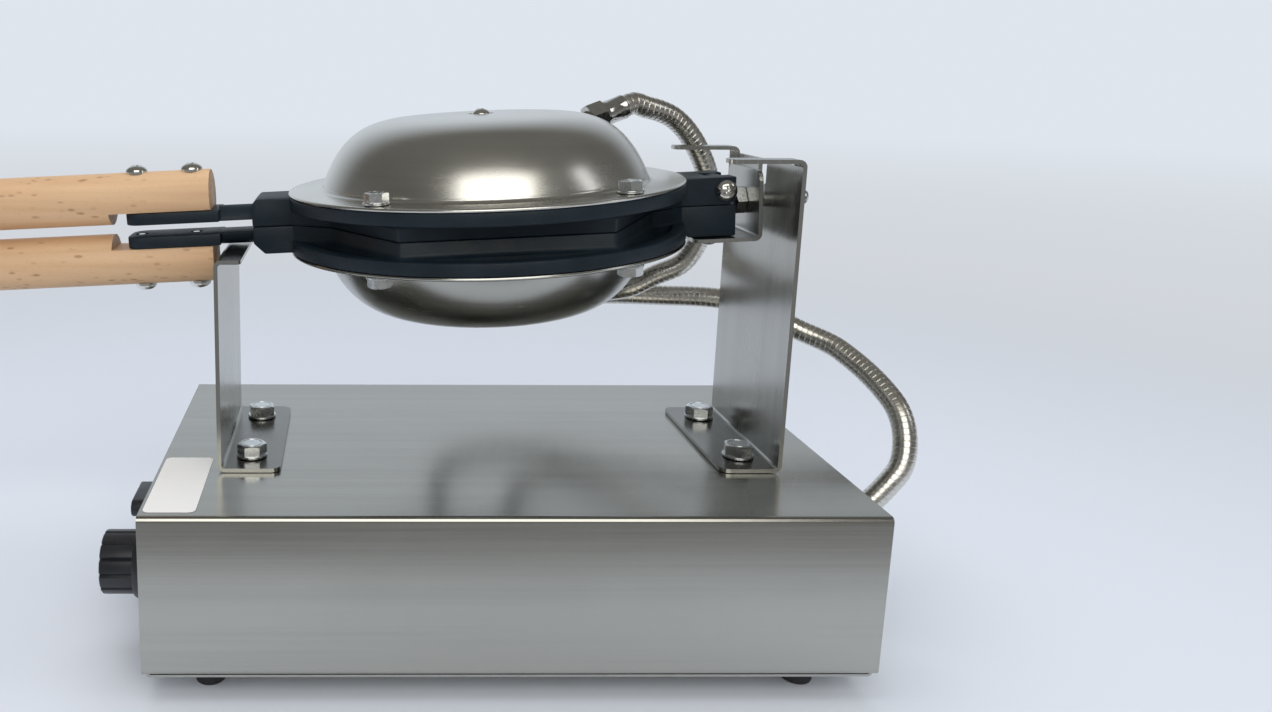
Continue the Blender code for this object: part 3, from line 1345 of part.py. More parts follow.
for side, put, turn, sign in halves:
    put(f"{side}_mould", mould_half(side == "upper"), CAST, (0, 0, 0), turn)
    cover = dome_cover()
    if side == "upper":
        point, way = upper_gland_pose()
        cut(cover, gland_hole(point, way, 2 * UPPER_GLAND_STUB_INSIDE))
    else:
        for azimuth in (LOOP_GLAND_AZIMUTH, SUPPLY_GLAND_AZIMUTH):
            point, way = lower_gland_pose(azimuth)
            point = (point.x, -point.y, -point.z)
            way = (way.x, -way.y, -way.z)
            cut(cover, gland_hole(point, way, 2 * GLAND_STUB_INSIDE))
    put(f"{side}_cover", cover, DOME_STEEL, (0, 0, 0), turn)
    put(f"{side}_heater", heater(), DARK_METAL, (0, 0, 0), turn)
    for number, (x, y) in enumerate(cover_bolt_places(), 1):
        spot = (x, y, sign * (COVER_TOP + SEAT_GAP))
        put(f"{side}_cover_bolt_{number}", copy_of(cover_bolt_shape), ZINC, spot, turn)
    put(f"{side}_centre_screw", copy_of(centre_screw_shape), ZINC, (0, 0, sign * centre_seat), turn)
    put(f"{side}_handle", handle(), BEECH, (0, 0, 0), turn)
    for number, x in enumerate(handle_screw_places(), 1):
        spot = (x, 0, sign * handle_screw_seat)
        put(f"{side}_handle_screw_{number}", copy_of(handle_screw_shape), CHROME, spot, turn)
for shape in (cover_bolt_shape, handle_screw_shape, centre_screw_shape):
    bpy.data.objects.remove(shape, do_unlink=True)

upper_point, upper_way = upper_gland_pose()
upper_end = UPPER_GLAND_STANDOFF + UPPER_NUT_LENGTH + UPPER_FERRULE_LENGTH
shape = gland(UPPER_GLAND_STUB_INSIDE, UPPER_GLAND_STANDOFF, UPPER_NUT_LENGTH, UPPER_FERRULE_LENGTH)
on_upper("upper_gland", pointed(shape, upper_way), DARK_METAL, upper_point)
lower_end = SEAT_GAP + GLAND_NUT_LENGTH + LOWER_FERRULE_LENGTH
lower_glands = (("lower_loop_gland", LOOP_GLAND_AZIMUTH), ("lower_supply_gland", SUPPLY_GLAND_AZIMUTH))
for name, azimuth in lower_glands:
    point, way = lower_gland_pose(azimuth)
    shape = gland(GLAND_STUB_INSIDE, SEAT_GAP, GLAND_NUT_LENGTH, LOWER_FERRULE_LENGTH)
    on_lower(name, pointed(shape, way), DARK_METAL, point)
right_way = (0, math.pi / 2, 0)
base_gland_at = Vector((TRAY_RIGHT, BASE_GLAND_Y, BASE_BOTTOM + BASE_GLAND_Z))
place("base_gland", base_gland(), DARK_METAL, base_gland_at, right_way)
mains_gland_at = (TRAY_RIGHT, MAINS_GLAND_Y, BASE_BOTTOM + MAINS_GLAND_Z)
place("mains_gland", mains_gland(), BLACK, mains_gland_at, right_way)

bpy.context.view_layer.update()
head = flip.matrix_world


def from_head(point, way, reach):
    tip = point + way * (reach + SEAT_GAP)
    return head @ Vector((tip.x - MOULD_TO_PIVOT, tip.y, tip.z)), (head.to_3x3() @ way).normalized()


loop_start = from_head(upper_point, upper_way, upper_end)
loop_end = from_head(*lower_gland_pose(LOOP_GLAND_AZIMUTH), lower_end)
supply_start = from_head(*lower_gland_pose(SUPPLY_GLAND_AZIMUTH), lower_end)
base_end = base_gland_at + Vector((BASE_GLAND_REACH + SEAT_GAP, 0, 0))
place("loop_conduit", conduit("loop_conduit", *loop_start, LOOP_ROUTE, *loop_end), CHROME)
supply = conduit("supply_conduit", *supply_start, SUPPLY_ROUTE, base_end, Vector((1, 0, 0)))
place("supply_conduit", supply, CHROME)

controls = control_places()
left_way = (0, -math.pi / 2, 0)
for name, knob in (("thermostat", fluted_knob()), ("timer", bar_knob())):
    y, z, _ = controls[name]
    axis = axis_empty(f"{name}_axis", (PLATE_FACE, y, z), left_way)
    place(f"{name}_knob", knob, BLACK, parent=axis)
    place(f"{name}_spindle", spindle(), ZINC, parent=axis)
    place(f"{name}_body", control_body(), BLACK, (PLATE_FACE, y, z), left_way)
for name in ("power_lamp", "heat_lamp"):
    y, z, _ = controls[name]
    place(name, lamp(), LAMP, (PLATE_FACE, y, z), left_way)
block_low = BASE_BOTTOM + BASE_SHEET + SEAT_GAP
block = box(
    (BLOCK_X - BLOCK_LENGTH / 2, BLOCK_Y - BLOCK_DEPTH / 2, block_low),
    (BLOCK_X + BLOCK_LENGTH / 2, BLOCK_Y + BLOCK_DEPTH / 2, block_low + BLOCK_HEIGHT),
)
place("terminal_block", block, CERAMIC)
bpy.context.view_layer.update()
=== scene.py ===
"""Looks of the bubble waffle maker: fine castings, domes, conduits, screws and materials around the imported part."""
import math

import bmesh
import bpy
from mathutils import Matrix, Vector


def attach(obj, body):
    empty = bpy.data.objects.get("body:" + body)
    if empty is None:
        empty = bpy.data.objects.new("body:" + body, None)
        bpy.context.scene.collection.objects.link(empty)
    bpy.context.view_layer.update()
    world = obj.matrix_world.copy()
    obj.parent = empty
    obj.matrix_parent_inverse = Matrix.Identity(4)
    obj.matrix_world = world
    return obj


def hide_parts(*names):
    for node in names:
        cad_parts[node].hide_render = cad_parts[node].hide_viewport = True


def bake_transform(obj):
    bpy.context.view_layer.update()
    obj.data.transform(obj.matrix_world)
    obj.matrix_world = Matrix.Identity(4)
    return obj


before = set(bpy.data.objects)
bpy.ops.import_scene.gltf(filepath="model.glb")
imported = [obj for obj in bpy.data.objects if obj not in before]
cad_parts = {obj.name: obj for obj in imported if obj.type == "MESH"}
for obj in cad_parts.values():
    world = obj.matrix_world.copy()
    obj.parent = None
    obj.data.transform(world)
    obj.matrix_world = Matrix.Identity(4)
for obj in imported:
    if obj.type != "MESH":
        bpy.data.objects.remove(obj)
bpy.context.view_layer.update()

SCENE = bpy.context.scene

# Sizes shared with the part, in metres
GAP = 0.0003
OVER = 0.002
BASE_LEFT, BASE_RIGHT = -0.084653, 0.255347
BASE_FRONT = -0.099
BASE_LOW, BASE_TOP = 0.012, 0.091
BASE_SHEET, STAND_SHEET = 0.0012, 0.002
TRAY_LEFT, TRAY_RIGHT = BASE_LEFT + 0.0018, BASE_RIGHT - 0.0018
PLATE_FACE = TRAY_LEFT - GAP - 0.0012
STAND_BOLTS = ((-0.039153, -0.03), (-0.039153, 0.03), (0.209847, -0.03), (0.209847, 0.03))
M8_ACROSS = 0.013
PIVOT = (0.224347, 0.0, 0.2228)
TILT = math.radians(3.0)
MOULD_TO_PIVOT = 0.1449
HINGE_OFFSET, HINGE_RISE, PIN_HOLE = 0.1203, 0.0072, 0.0033
RIM_RADIUS, RIM_TOP = 0.1003, 0.014
HEX_RADIUS, HEX_THICKNESS = 0.096, 0.0077
LUG_HALF, FORK_END = 0.016, 0.1255
PARTING = 0.00015
CELL_PITCH, CELL_RADIUS, CELL_DEPTH = 0.0255, 0.0114, 0.0102
COVER_SHEET = 0.0015
COVER_SEAT = RIM_TOP + GAP
COVER_TOP = COVER_SEAT + COVER_SHEET
COVER_BOLT_CIRCLE, COVER_BOLT_ANGLE = 0.0922, math.radians(52)
DOME_RADIUS, DOME_HEIGHT, DOME_SQUARENESS, DOME_SLOPE = 0.083, 0.035, 5.6, 1.13
DIMPLE_DEPTH = 0.0016
NECK_END = 0.1365
TANG_LOW, TANG_HIGH, TANG_LENGTH, TANG_WIDTH = 0.003, 0.009, 0.047, 0.025
HANDLE_RADIUS, HANDLE_RISE, HANDLE_LENGTH, HANDLE_ROUND = 0.0133, 0.0158, 0.208, 0.005
HANDLE_FRONT = NECK_END + 0.003
HANDLE_LAP = 0.052
SCREW_PLACES = (-NECK_END - 0.0127, -NECK_END - 0.0127 - 0.0283)
SCREW_HOLE = 0.0023
BRACKET_PAD, BRACKET_SHEET, BRACKET_SCREW_X, BRACKET_SCREW_SPREAD = 0.016, 0.002, 0.1135, 0.0095
HOSE_RADIUS, HOSE_PITCH = 0.0062, 0.0032
LOOP_AZIMUTH, SUPPLY_AZIMUTH = 70, 100
BASE_GLAND = (TRAY_RIGHT, -0.014, BASE_LOW + 0.041)
MAINS_GLAND = (TRAY_RIGHT, 0.060, BASE_LOW + 0.034)
KNOB_Z = BASE_LOW + 0.039
THERMOSTAT_Y, TIMER_Y, LAMP_Y = -0.061, 0.013, 0.064

HEAD = Matrix.Translation(PIVOT) @ Matrix.Rotation(-TILT, 4, "Y")
UPPER = HEAD @ Matrix.Translation((-MOULD_TO_PIVOT, 0, 0))
LOWER = UPPER @ Matrix.Rotation(math.pi, 4, "X")


# Camera, set from the base's six seen corners

def camera():
    yaw, pitch, roll = (math.radians(a) for a in (0.67, 10.65, 0.33))
    width, height, focal, px, py = 1272, 712, 1025.3, 361.4, 260.0
    ahead = Vector((math.sin(yaw) * math.cos(pitch), math.cos(yaw) * math.cos(pitch), -math.sin(pitch)))
    right = Vector((math.cos(yaw), -math.sin(yaw), 0))
    up = right.cross(ahead)
    across = right * math.cos(roll) + up * math.sin(roll)
    above = up * math.cos(roll) - right * math.sin(roll)
    data = bpy.data.cameras.new("camera")
    data.sensor_width = 36
    data.lens = focal * data.sensor_width / width
    data.shift_x = (width / 2 - px) / width
    data.shift_y = (py - height / 2) / width
    data.clip_start, data.clip_end = 0.01, 50
    obj = linked(bpy.data.objects.new("camera", data))
    turn = Matrix((across, above, -ahead)).transposed().to_4x4()
    obj.matrix_world = Matrix.Translation((0.010247, -0.5269, 0.2886)) @ turn
    SCENE.camera = obj


def linked(obj):
    SCENE.collection.objects.link(obj)
    return obj


camera()


# Shapes, each made about its own origin

def as_object(bm):
    mesh = bpy.data.meshes.new("shape")
    bmesh.ops.recalc_face_normals(bm, faces=bm.faces)
    bm.to_mesh(mesh)
    bm.free()
    return linked(bpy.data.objects.new("shape", mesh))


def evaluated(obj):
    bpy.context.view_layer.update()
    depsgraph = bpy.context.evaluated_depsgraph_get()
    return bpy.data.meshes.new_from_object(obj.evaluated_get(depsgraph), depsgraph=depsgraph)


def combine(obj, operation, *others):
    for other in others:
        modifier = obj.modifiers.new(operation, "BOOLEAN")
        modifier.operation, modifier.solver, modifier.object = operation, "EXACT", other
        mesh = evaluated(obj)
        obj.modifiers.clear()
        obj.data = mesh
        bpy.data.objects.remove(other, do_unlink=True)
    return obj


def cut(obj, *others):
    return combine(obj, "DIFFERENCE", *others)


def join(obj, *others):
    return combine(obj, "UNION", *others)


def merged(obj, *others):
    """One object from shells that lie one in the other."""
    bm = bmesh.new()
    for part in (obj, *others):
        bm.from_mesh(part.data)
    bm.to_mesh(obj.data)
    bm.free()
    for other in others:
        bpy.data.objects.remove(other, do_unlink=True)
    return obj


def moved(obj, x=0.0, y=0.0, z=0.0):
    obj.data.transform(Matrix.Translation((x, y, z)))
    return obj


def turned_about(obj, angle, axis):
    obj.data.transform(Matrix.Rotation(angle, 4, axis))
    return obj


def softened(obj, width, segments=2, angle=30.0, test=None):
    """Round the sharp edges."""
    bm = bmesh.new()
    bm.from_mesh(obj.data)
    edges = [
        e for e in bm.edges
        if e.is_manifold and e.calc_face_angle() > math.radians(angle)
        and (test is None or test((e.verts[0].co + e.verts[1].co) / 2, e.verts[1].co - e.verts[0].co))
    ]
    bmesh.ops.bevel(
        bm, geom=edges, offset=width, segments=segments, profile=0.5, affect="EDGES", clamp_overlap=True,
    )
    bm.to_mesh(obj.data)
    bm.free()
    return obj


def box(low, high, soft=0.0):
    bm = bmesh.new()
    bmesh.ops.create_cube(bm, size=1)
    bmesh.ops.scale(bm, vec=[b - a for a, b in zip(low, high)], verts=bm.verts)
    bmesh.ops.translate(bm, vec=[(a + b) / 2 for a, b in zip(low, high)], verts=bm.verts)
    obj = as_object(bm)
    return softened(obj, soft) if soft else obj


def bar(radius, low, high, sides=48, turn=0.0):
    bm = bmesh.new()
    bmesh.ops.create_cone(
        bm, cap_ends=True, segments=sides, radius1=radius, radius2=radius, depth=high - low,
    )
    bmesh.ops.translate(bm, vec=(0, 0, (low + high) / 2), verts=bm.verts)
    if turn:
        bmesh.ops.rotate(bm, matrix=Matrix.Rotation(turn, 3, "Z"), verts=bm.verts)
    return as_object(bm)


def lathe(profile, sides=64, closed=False):
    """A turned shape from points of radius and height."""
    bm = bmesh.new()
    turns = [2 * math.pi * k / sides for k in range(sides)]
    rings = []
    for radius, height in profile:
        if radius < 1e-7:
            rings.append([bm.verts.new((0, 0, height))])
        else:
            rings.append([bm.verts.new((radius * math.cos(t), radius * math.sin(t), height)) for t in turns])
    pairs = list(zip(rings, rings[1:]))
    if closed:
        pairs.append((rings[-1], rings[0]))
    for a, b in pairs:
        for k in range(sides):
            corners = [a[k % len(a)], a[(k + 1) % len(a)], b[(k + 1) % len(b)], b[k % len(b)]]
            seen = list(dict.fromkeys(corners))
            if len(seen) > 2:
                bm.faces.new(seen)
    return as_object(bm)


def prism(points, low, high, soft=0.0):
    bm = bmesh.new()
    bottom = bm.faces.new([bm.verts.new((x, y, low)) for x, y in points])
    made = bmesh.ops.extrude_face_region(bm, geom=[bottom])
    top = [v for v in made["geom"] if isinstance(v, bmesh.types.BMVert)]
    bmesh.ops.translate(bm, vec=(0, 0, high - low), verts=top)
    obj = as_object(bm)
    return softened(obj, soft) if soft else obj


def upright_prism(points, half, soft=0.0):
    """An outline in XZ, given a width along Y."""
    return turned_about(prism(points, -half, half, soft), math.pi / 2, "X")


def arc(cx, cy, radius, start, end, steps):
    angles = [math.radians(start + (end - start) * i / steps) for i in range(steps + 1)]
    return [(cx + radius * math.cos(a), cy + radius * math.sin(a)) for a in angles]


def rounded_outline(points, radii, steps=5):
    """A closed outline whose corners are rounded, each by its own radius."""
    made = []
    for i, (corner, radius) in enumerate(zip(points, radii)):
        here = Vector(corner)
        before = (Vector(points[i - 1]) - here).normalized()
        after = (Vector(points[(i + 1) % len(points)]) - here).normalized()
        half = before.angle(after) / 2
        reach = radius / math.tan(half)
        centre = here + (before + after).normalized() * radius / math.sin(half)
        start, end = here + before * reach - centre, here + after * reach - centre
        sweep = start.angle_signed(end)
        for k in range(steps + 1):
            made.append(centre + Matrix.Rotation(-sweep * k / steps, 2) @ start)
    return made


def stacked(rings):
    """A closed shape through rings of points, each ring at its own height."""
    bm = bmesh.new()
    rows = [[bm.verts.new((x, y, z)) for x, y in points] for points, z in rings]
    for a, b in zip(rows, rows[1:]):
        for k in range(len(a)):
            bm.faces.new((a[k - 1], a[k], b[k], b[k - 1]))
    bm.faces.new(rows[0])
    bm.faces.new(rows[-1])
    return as_object(bm)


def hexagon(across, low, high, both=False):
    """A hexagon whose corners are turned off at the top, or at both ends."""
    corner, flat = across / math.sqrt(3), across * 0.475
    drop = (corner - flat) * math.tan(math.radians(30))
    profile = [(0, high), (flat, high), (corner * 1.002, high - drop)]
    profile += [(corner * 1.002, low + drop), (flat, low)] if both else [(corner * 1.01, low)]
    profile.append((0, low))
    return combine(bar(corner, low, high, 6), "INTERSECT", lathe(profile, 72))


def rounded_disc(radius, low, high, soft, hole=0.0):
    """A washer or a disc with its outer edges rounded."""
    outer = arc(radius - soft, high - soft, soft, 90, 0, 3)
    profile = [(hole, high), *outer, *((r, low + high - z) for r, z in reversed(outer)), (hole, low)]
    return lathe(profile, 48, closed=bool(hole))


def place(name, obj, look, body, where=None, node=None, smooth=32):
    """Give a piece its place, material and body, and hide the plain solid that it stands for."""
    obj.name = obj.data.name = name
    if where is not None:
        obj.data.transform(where)
    obj.data.materials.clear()
    obj.data.materials.append(look)
    obj.data.shade_smooth()
    obj.data.set_sharp_from_angle(angle=math.radians(smooth))
    if body:
        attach(obj, body)
    if node:
        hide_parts(node)
    return obj


# Materials

class Graph:
    """A node tree that is put together node by node."""

    def __init__(self, owner):
        owner.use_nodes = True
        self.tree = owner.node_tree
        self.coordinates = None

    def node(self, kind, inputs=None, **settings):
        node = self.tree.nodes.new(kind)
        for key, value in settings.items():
            setattr(node, key, value)
        for key, value in (inputs or {}).items():
            self.fill(node.inputs[key], value)
        return node

    def fill(self, socket, value):
        """Link a socket, or give it a value; a colour is three numbers."""
        if isinstance(value, bpy.types.NodeSocket):
            self.tree.links.new(value, socket)
        elif socket.type == "RGBA":
            socket.default_value = (*value, 1)
        else:
            socket.default_value = value

    def stretched(self, scale):
        return self.node("ShaderNodeMapping", {"Scale": scale, "Vector": self.coordinates}).outputs[0]

    def noise(self, scale, detail=3.0, rough=0.55, vector=None, distortion=0.0):
        return self.node("ShaderNodeTexNoise", {
            "Scale": scale, "Detail": detail, "Roughness": rough, "Distortion": distortion,
            "Vector": vector or self.coordinates,
        }).outputs["Fac"]

    def cells(self, scale, vector=None):
        inputs = {"Scale": scale, "Vector": vector or self.coordinates}
        return self.node("ShaderNodeTexVoronoi", inputs).outputs["Distance"]

    def ramp(self, fac, *stops):
        node = self.node("ShaderNodeValToRGB", {"Fac": fac})
        items = node.color_ramp.elements
        while len(items) < len(stops):
            items.new(0.5)
        for item, (at, value) in zip(items, stops):
            item.position = at
            item.color = (*value, 1) if isinstance(value, tuple) else (value, value, value, 1)
        return node.outputs["Color"]

    def span(self, fac, low=0.0, high=1.0, start=0.0, end=1.0, **settings):
        inputs = {"Value": fac, "From Min": start, "From Max": end, "To Min": low, "To Max": high}
        return self.node("ShaderNodeMapRange", inputs, **settings).outputs["Result"]

    def sum(self, a, b, operation="ADD"):
        return self.node("ShaderNodeMath", {0: a, 1: b}, operation=operation).outputs[0]

    def product(self, a, b):
        return self.sum(a, b, "MULTIPLY")

    def weighed(self, a, b, share):
        return self.sum(self.product(a, share), self.product(b, 1 - share))

    def mix(self, fac, a, b, blend="MIX"):
        inputs = {0: fac, 6: a, 7: b}
        return self.node("ShaderNodeMix", inputs, data_type="RGBA", blend_type=blend).outputs[2]

    def pick(self, fac, plain, other):
        return self.node("ShaderNodeMixShader", {"Fac": fac, 1: plain, 2: other}).outputs[0]

    def split(self, vector):
        return self.node("ShaderNodeSeparateXYZ", {0: vector}).outputs

    def texture_space(self, name):
        return self.node("ShaderNodeTexCoord").outputs[name]

    def light_path(self, name):
        return self.node("ShaderNodeLightPath").outputs[name]


class Look(Graph):
    """A material around its Principled shader."""

    def __init__(self, name, colour, roughness, metallic=0.0, **settings):
        self.material = bpy.data.materials.new(name)
        super().__init__(self.material)
        self.shader = self.tree.nodes["Principled BSDF"]
        self.colour = colour
        self.put(Base_Color=colour, Roughness=roughness, Metallic=metallic, **settings)
        self.coordinates = self.texture_space("Object")

    def put(self, **values):
        for key, value in values.items():
            self.fill(self.shader.inputs[key.replace("_", " ")], value)

    def tinted(self, shade):
        """The colour, darkened by a shade from 0 to 1."""
        self.put(Base_Color=self.mix(1.0, self.colour, self.ramp(shade, (0.0, 0.0), (1.0, 1.0)), "MULTIPLY"))

    def bump(self, *layers):
        """Layers of height, strength and distance in metres, one on the other; the material is done with them."""
        last = None
        for height, strength, distance in layers:
            inputs = {"Strength": strength, "Distance": distance, "Height": height}
            if last:
                inputs["Normal"] = last
            last = self.node("ShaderNodeBump", inputs).outputs["Normal"]
        self.put(Normal=last)
        return self.material


def sheet_steel(name, colour, along, roughness=(0.17, 0.27), waves=0.35, up_face_painted_shade=0.88):
    """Brushed sheet with its grain along one axis, faint smears, a slight unevenness, and painted shade that darkens
    its up-facing faces.
    """
    look = Look(name, colour, 0.22, 1.0)
    fine, streak = [420.0] * 3, [60.0] * 3
    fine[along], streak[along] = 5.0, 1.2
    grain = look.noise(1.0, 4.0, 0.6, look.stretched(fine))
    broad = look.noise(1.0, 2.0, 0.5, look.stretched(streak))
    smear = look.noise(14.0, 4.0, 0.6, distortion=0.6)
    look.put(Roughness=look.span(look.weighed(grain, smear, 0.55), *roughness, 0.3, 0.7))
    tint = look.span(look.sum(grain, broad), 0.9, 1.06, 0.7, 1.3)
    # Painted shade: up-facing faces are darkened down to the given factor, on top of the grain's own tone
    facing = look.split(look.texture_space("Normal"))["Z"]
    look.tinted(look.product(tint, look.span(facing, 1.0, up_face_painted_shade, 0.5, 0.9)))
    return look.bump((look.noise(5.0, 1.0, 0.4), waves, 0.004), (grain, 0.06, 0.0002))


def spun_steel(name, colour):
    """Satin polished dome with faint rings left by the spinning lathe."""
    look = Look(name, colour, 0.25, 1.0)
    smear = look.noise(18.0, 4.0, 0.6, distortion=0.8)
    rings = look.noise(1.0, 3.0, 0.6, look.stretched((3.0, 3.0, 500.0)))
    look.put(Roughness=look.span(look.weighed(rings, smear, 0.3), 0.22, 0.29, 0.35, 0.65))
    look.tinted(look.span(look.sum(smear, rings), 0.95, 1.04, 0.7, 1.3))
    return look.bump((look.noise(9.0, 2.0, 0.5), 0.1, 0.003), (rings, 0.008, 0.0001))


def plated(name, colour, roughness, mottle=0.12, relief=0.03):
    """Plated fastener or fitting: bright, with fine mottling and small rubbed marks."""
    look = Look(name, colour, roughness, 1.0)
    cloud = look.noise(160.0, 4.0, 0.6)
    fine = look.noise(1500.0, 2.0, 0.5)
    look.put(Roughness=look.span(cloud, roughness - 0.05, roughness + mottle, 0.3, 0.7))
    look.tinted(look.span(look.sum(cloud, fine), 0.82, 1.06, 0.7, 1.3))
    return look.bump((cloud, relief, 0.0004), (fine, relief * 0.6, 0.0001))


def cast_black():
    """Black coating on a casting: fine orange peel with small pale specks."""
    look = Look("black_coating", (0.006, 0.0135, 0.0205), 0.5, Specular_IOR_Level=0.32)
    peel = look.noise(900.0, 3.0, 0.6)
    broad = look.noise(70.0, 3.0, 0.5)
    specks = look.ramp(look.cells(1400.0), (0.08, 1.0), (0.16, 0.0))
    sparse = look.ramp(look.noise(220.0, 2.0, 0.6), (0.5, 0.0), (0.66, 0.55))
    ground = look.mix(look.span(broad, start=0.35, end=0.7), look.colour, (0.009, 0.0185, 0.0275))
    look.put(
        Base_Color=look.mix(look.product(specks, sparse), ground, (0.16, 0.18, 0.2)),
        Roughness=look.span(look.sum(peel, broad), 0.4, 0.58, 0.7, 1.3),
    )
    return look.bump((broad, 0.15, 0.0008), (peel, 0.3, 0.00025))


def beech():
    """Turned beech: long pale grain, short dark flecks and darker end grain."""
    look = Look("beech", (0.62, 0.40, 0.23), 0.5)
    drift = look.noise(9.0, 2.0, 0.5, look.stretched((0.7, 1.0, 1.0)))
    grain = look.noise(1.0, 4.0, 0.6, look.stretched((8.0, 150.0, 150.0)), 0.25)
    fibre = look.noise(1.0, 3.0, 0.55, look.stretched((30.0, 900.0, 900.0)))
    wood = look.ramp(
        look.weighed(grain, drift, 0.55),
        (0.28, (0.5, 0.285, 0.145)), (0.45, (0.62, 0.385, 0.21)), (0.62, (0.7, 0.46, 0.265)),
    )
    spot = look.ramp(look.cells(1.0, look.stretched((120.0, 330.0, 330.0))), (0.16, 1.0), (0.34, 0.0))
    chance = look.noise(1.0, 2.0, 0.6, look.stretched((55.0, 90.0, 90.0)))
    fleck = look.product(spot, look.ramp(chance, (0.52, 0.0), (0.62, 0.75)))
    pores = look.ramp(look.cells(1.0, look.stretched((260.0, 1500.0, 1500.0))), (0.1, 0.35), (0.25, 0.0))
    wood = look.mix(pores, wood, (0.42, 0.24, 0.12))
    wood = look.mix(fleck, wood, (0.33, 0.16, 0.07))
    along = look.split(look.texture_space("Normal"))["X"]
    rings = look.noise(1.0, 3.0, 0.6, look.stretched((10.0, 120.0, 700.0)), 0.3)
    end = look.ramp(rings, (0.35, (0.36, 0.2, 0.1)), (0.65, (0.52, 0.32, 0.175)))
    look.put(
        Base_Color=look.mix(look.ramp(look.product(along, along), (0.55, 0.0), (0.9, 0.85)), wood, end),
        Roughness=look.span(grain, 0.42, 0.6, 0.3, 0.7),
    )
    return look.bump((grain, 0.08, 0.0004), (fibre, 0.2, 0.0002), (pores, -0.25, 0.0002))


def moulded(name, colour, roughness, grain=1200.0, strength=0.12):
    """Moulded plastic or rubber: fine texture, slight wear in its sheen."""
    look = Look(name, colour, roughness)
    fine = look.noise(grain, 3.0, 0.6)
    wear = look.noise(45.0, 4.0, 0.6)
    light = tuple(min(1.0, c * 1.5 + 0.004) for c in colour)
    look.put(
        Base_Color=look.mix(look.span(look.sum(fine, wear), start=0.75, end=1.35), colour, light),
        Roughness=look.span(wear, roughness - 0.07, roughness + 0.1, 0.3, 0.7),
    )
    return look.bump((fine, strength, 0.0002))


def printed(name, colour, roughness, worn=0.88):
    """Printed film or paint: even colour with a slight orange peel and faint scuffs."""
    look = Look(name, colour, roughness, Coat_Weight=0.15, Coat_Roughness=0.3)
    scuff = look.noise(1.0, 3.0, 0.6, look.stretched((50.0, 400.0, 50.0)))
    dark = tuple(c * worn for c in colour)
    look.put(
        Base_Color=look.mix(look.span(scuff, start=0.35, end=0.75), colour, dark),
        Roughness=look.span(scuff, roughness - 0.06, roughness + 0.1, 0.35, 0.65),
    )
    return look.bump((look.noise(500.0, 2.0, 0.5), 0.05, 0.0002))


def lens(name, colour):
    """Ribbed coloured plastic that lets light in."""
    look = Look(name, colour, 0.12, Transmission_Weight=0.35, IOR=1.49, Coat_Weight=0.5)
    ribs = look.noise(900.0, 2.0, 0.5)
    dark = tuple(c * 0.7 for c in colour)
    look.put(Base_Color=look.mix(look.span(ribs, start=0.3, end=0.7), colour, dark))
    return look.bump((ribs, 0.1, 0.0002))


# Each sheet has painted shade on its up-facing faces; on the uprights and bracket, the feet are darkened to half
STEEL_X = sheet_steel("sheet_steel_along", (0.46, 0.455, 0.42), 0)
STEEL_Y = sheet_steel("sheet_steel_across", (0.46, 0.455, 0.42), 1)
STEEL_Z = sheet_steel("sheet_steel_upright", (0.48, 0.48, 0.455), 2, (0.2, 0.3), 0.2, 0.5)
DOME = spun_steel("spun_steel", (0.64, 0.63, 0.59))
# The lower dome is the same spun steel with a darker colour: painted shade for its dimmer light and darker reflections
LOW_DOME_PAINTED_SHADE = spun_steel("spun_steel_low_painted_shade", (0.46, 0.46, 0.43))
ZINC = plated("zinc", (0.72, 0.74, 0.74), 0.22)
CHROME = plated("chrome", (0.82, 0.81, 0.77), 0.17, 0.06)
HOSE = plated("conduit_steel", (0.72, 0.7, 0.65), 0.26, 0.06, 0.0)
TUBE = plated("ferrule_metal", (0.66, 0.65, 0.62), 0.14, 0.06)
OXIDE = plated("heater_tube", (0.1, 0.09, 0.085), 0.55, 0.15)
CAST = cast_black()
BEECH = beech()
PLASTIC = moulded("black_plastic", (0.013, 0.014, 0.018), 0.36)
RUBBER = moulded("black_rubber", (0.016, 0.016, 0.017), 0.62, 500.0, 0.3)
PLATE = printed("printed_plate", (0.14, 0.05, 0.038), 0.35)
WHITE = printed("white_print", (0.78, 0.78, 0.76), 0.4)
LABEL = printed("blank_label", (0.9, 0.89, 0.87), 0.5, 0.98)
CERAMIC = moulded("terminal_white", (0.72, 0.71, 0.67), 0.5, 700.0, 0.1)
RED_LENS = lens("red_lens", (0.55, 0.02, 0.015))
GREEN_LENS = lens("green_lens", (0.02, 0.4, 0.05))


# Solids that stay as they are get their material

for look, nodes in (
    (STEEL_X, ("base_cover",)),
    (STEEL_Y, ("base_tray",)),
    (STEEL_Z, ("front_upright", "rear_upright", "head_bracket")),
    (PLATE, ("control_plate",)),
    (OXIDE, ("lower_heater", "upper_heater")),
    (PLASTIC, ("thermostat_body", "timer_body")),
    (ZINC, ("thermostat_spindle", "timer_spindle")),
    (CERAMIC, ("terminal_block",)),
):
    for node in nodes:
        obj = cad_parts[node]
        if not obj.data.materials:
            obj.data.materials.append(look)
        for item in obj.material_slots:
            item.material = look


# Feet

def foot():
    top = BASE_LOW - GAP
    return lathe([
        (0, top + 0.009), (0.0023, top + 0.009), (0.0025, top + 0.0086), (0.0025, top),
        (0.0077, top), (0.0081, top - 0.0002), (0.0083, top - 0.0007), (0.0083, top - 0.0016),
        (0.0079, top - 0.002), (0.0078, top - 0.0026),
        (0.00722, 0.0012), (0.0069, 0.0004), (0.0063, 0), (0.0040, 0), (0.0036, 0.0003),
        (0.0034, 0.0022), (0, 0.0022),
    ], 48)


middle_x = (BASE_LEFT + BASE_RIGHT) / 2
for number, (x, y) in enumerate(((-0.141, -0.079), (-0.141, 0.079), (0.141, -0.079), (0.141, 0.079)), 1):
    at = Matrix.Translation((middle_x + x, y, 0))
    place(f"rubber_foot_{number}", foot(), RUBBER, "base", at, f"foot_{number}")


# Fasteners, each along its own Z with its seat at zero

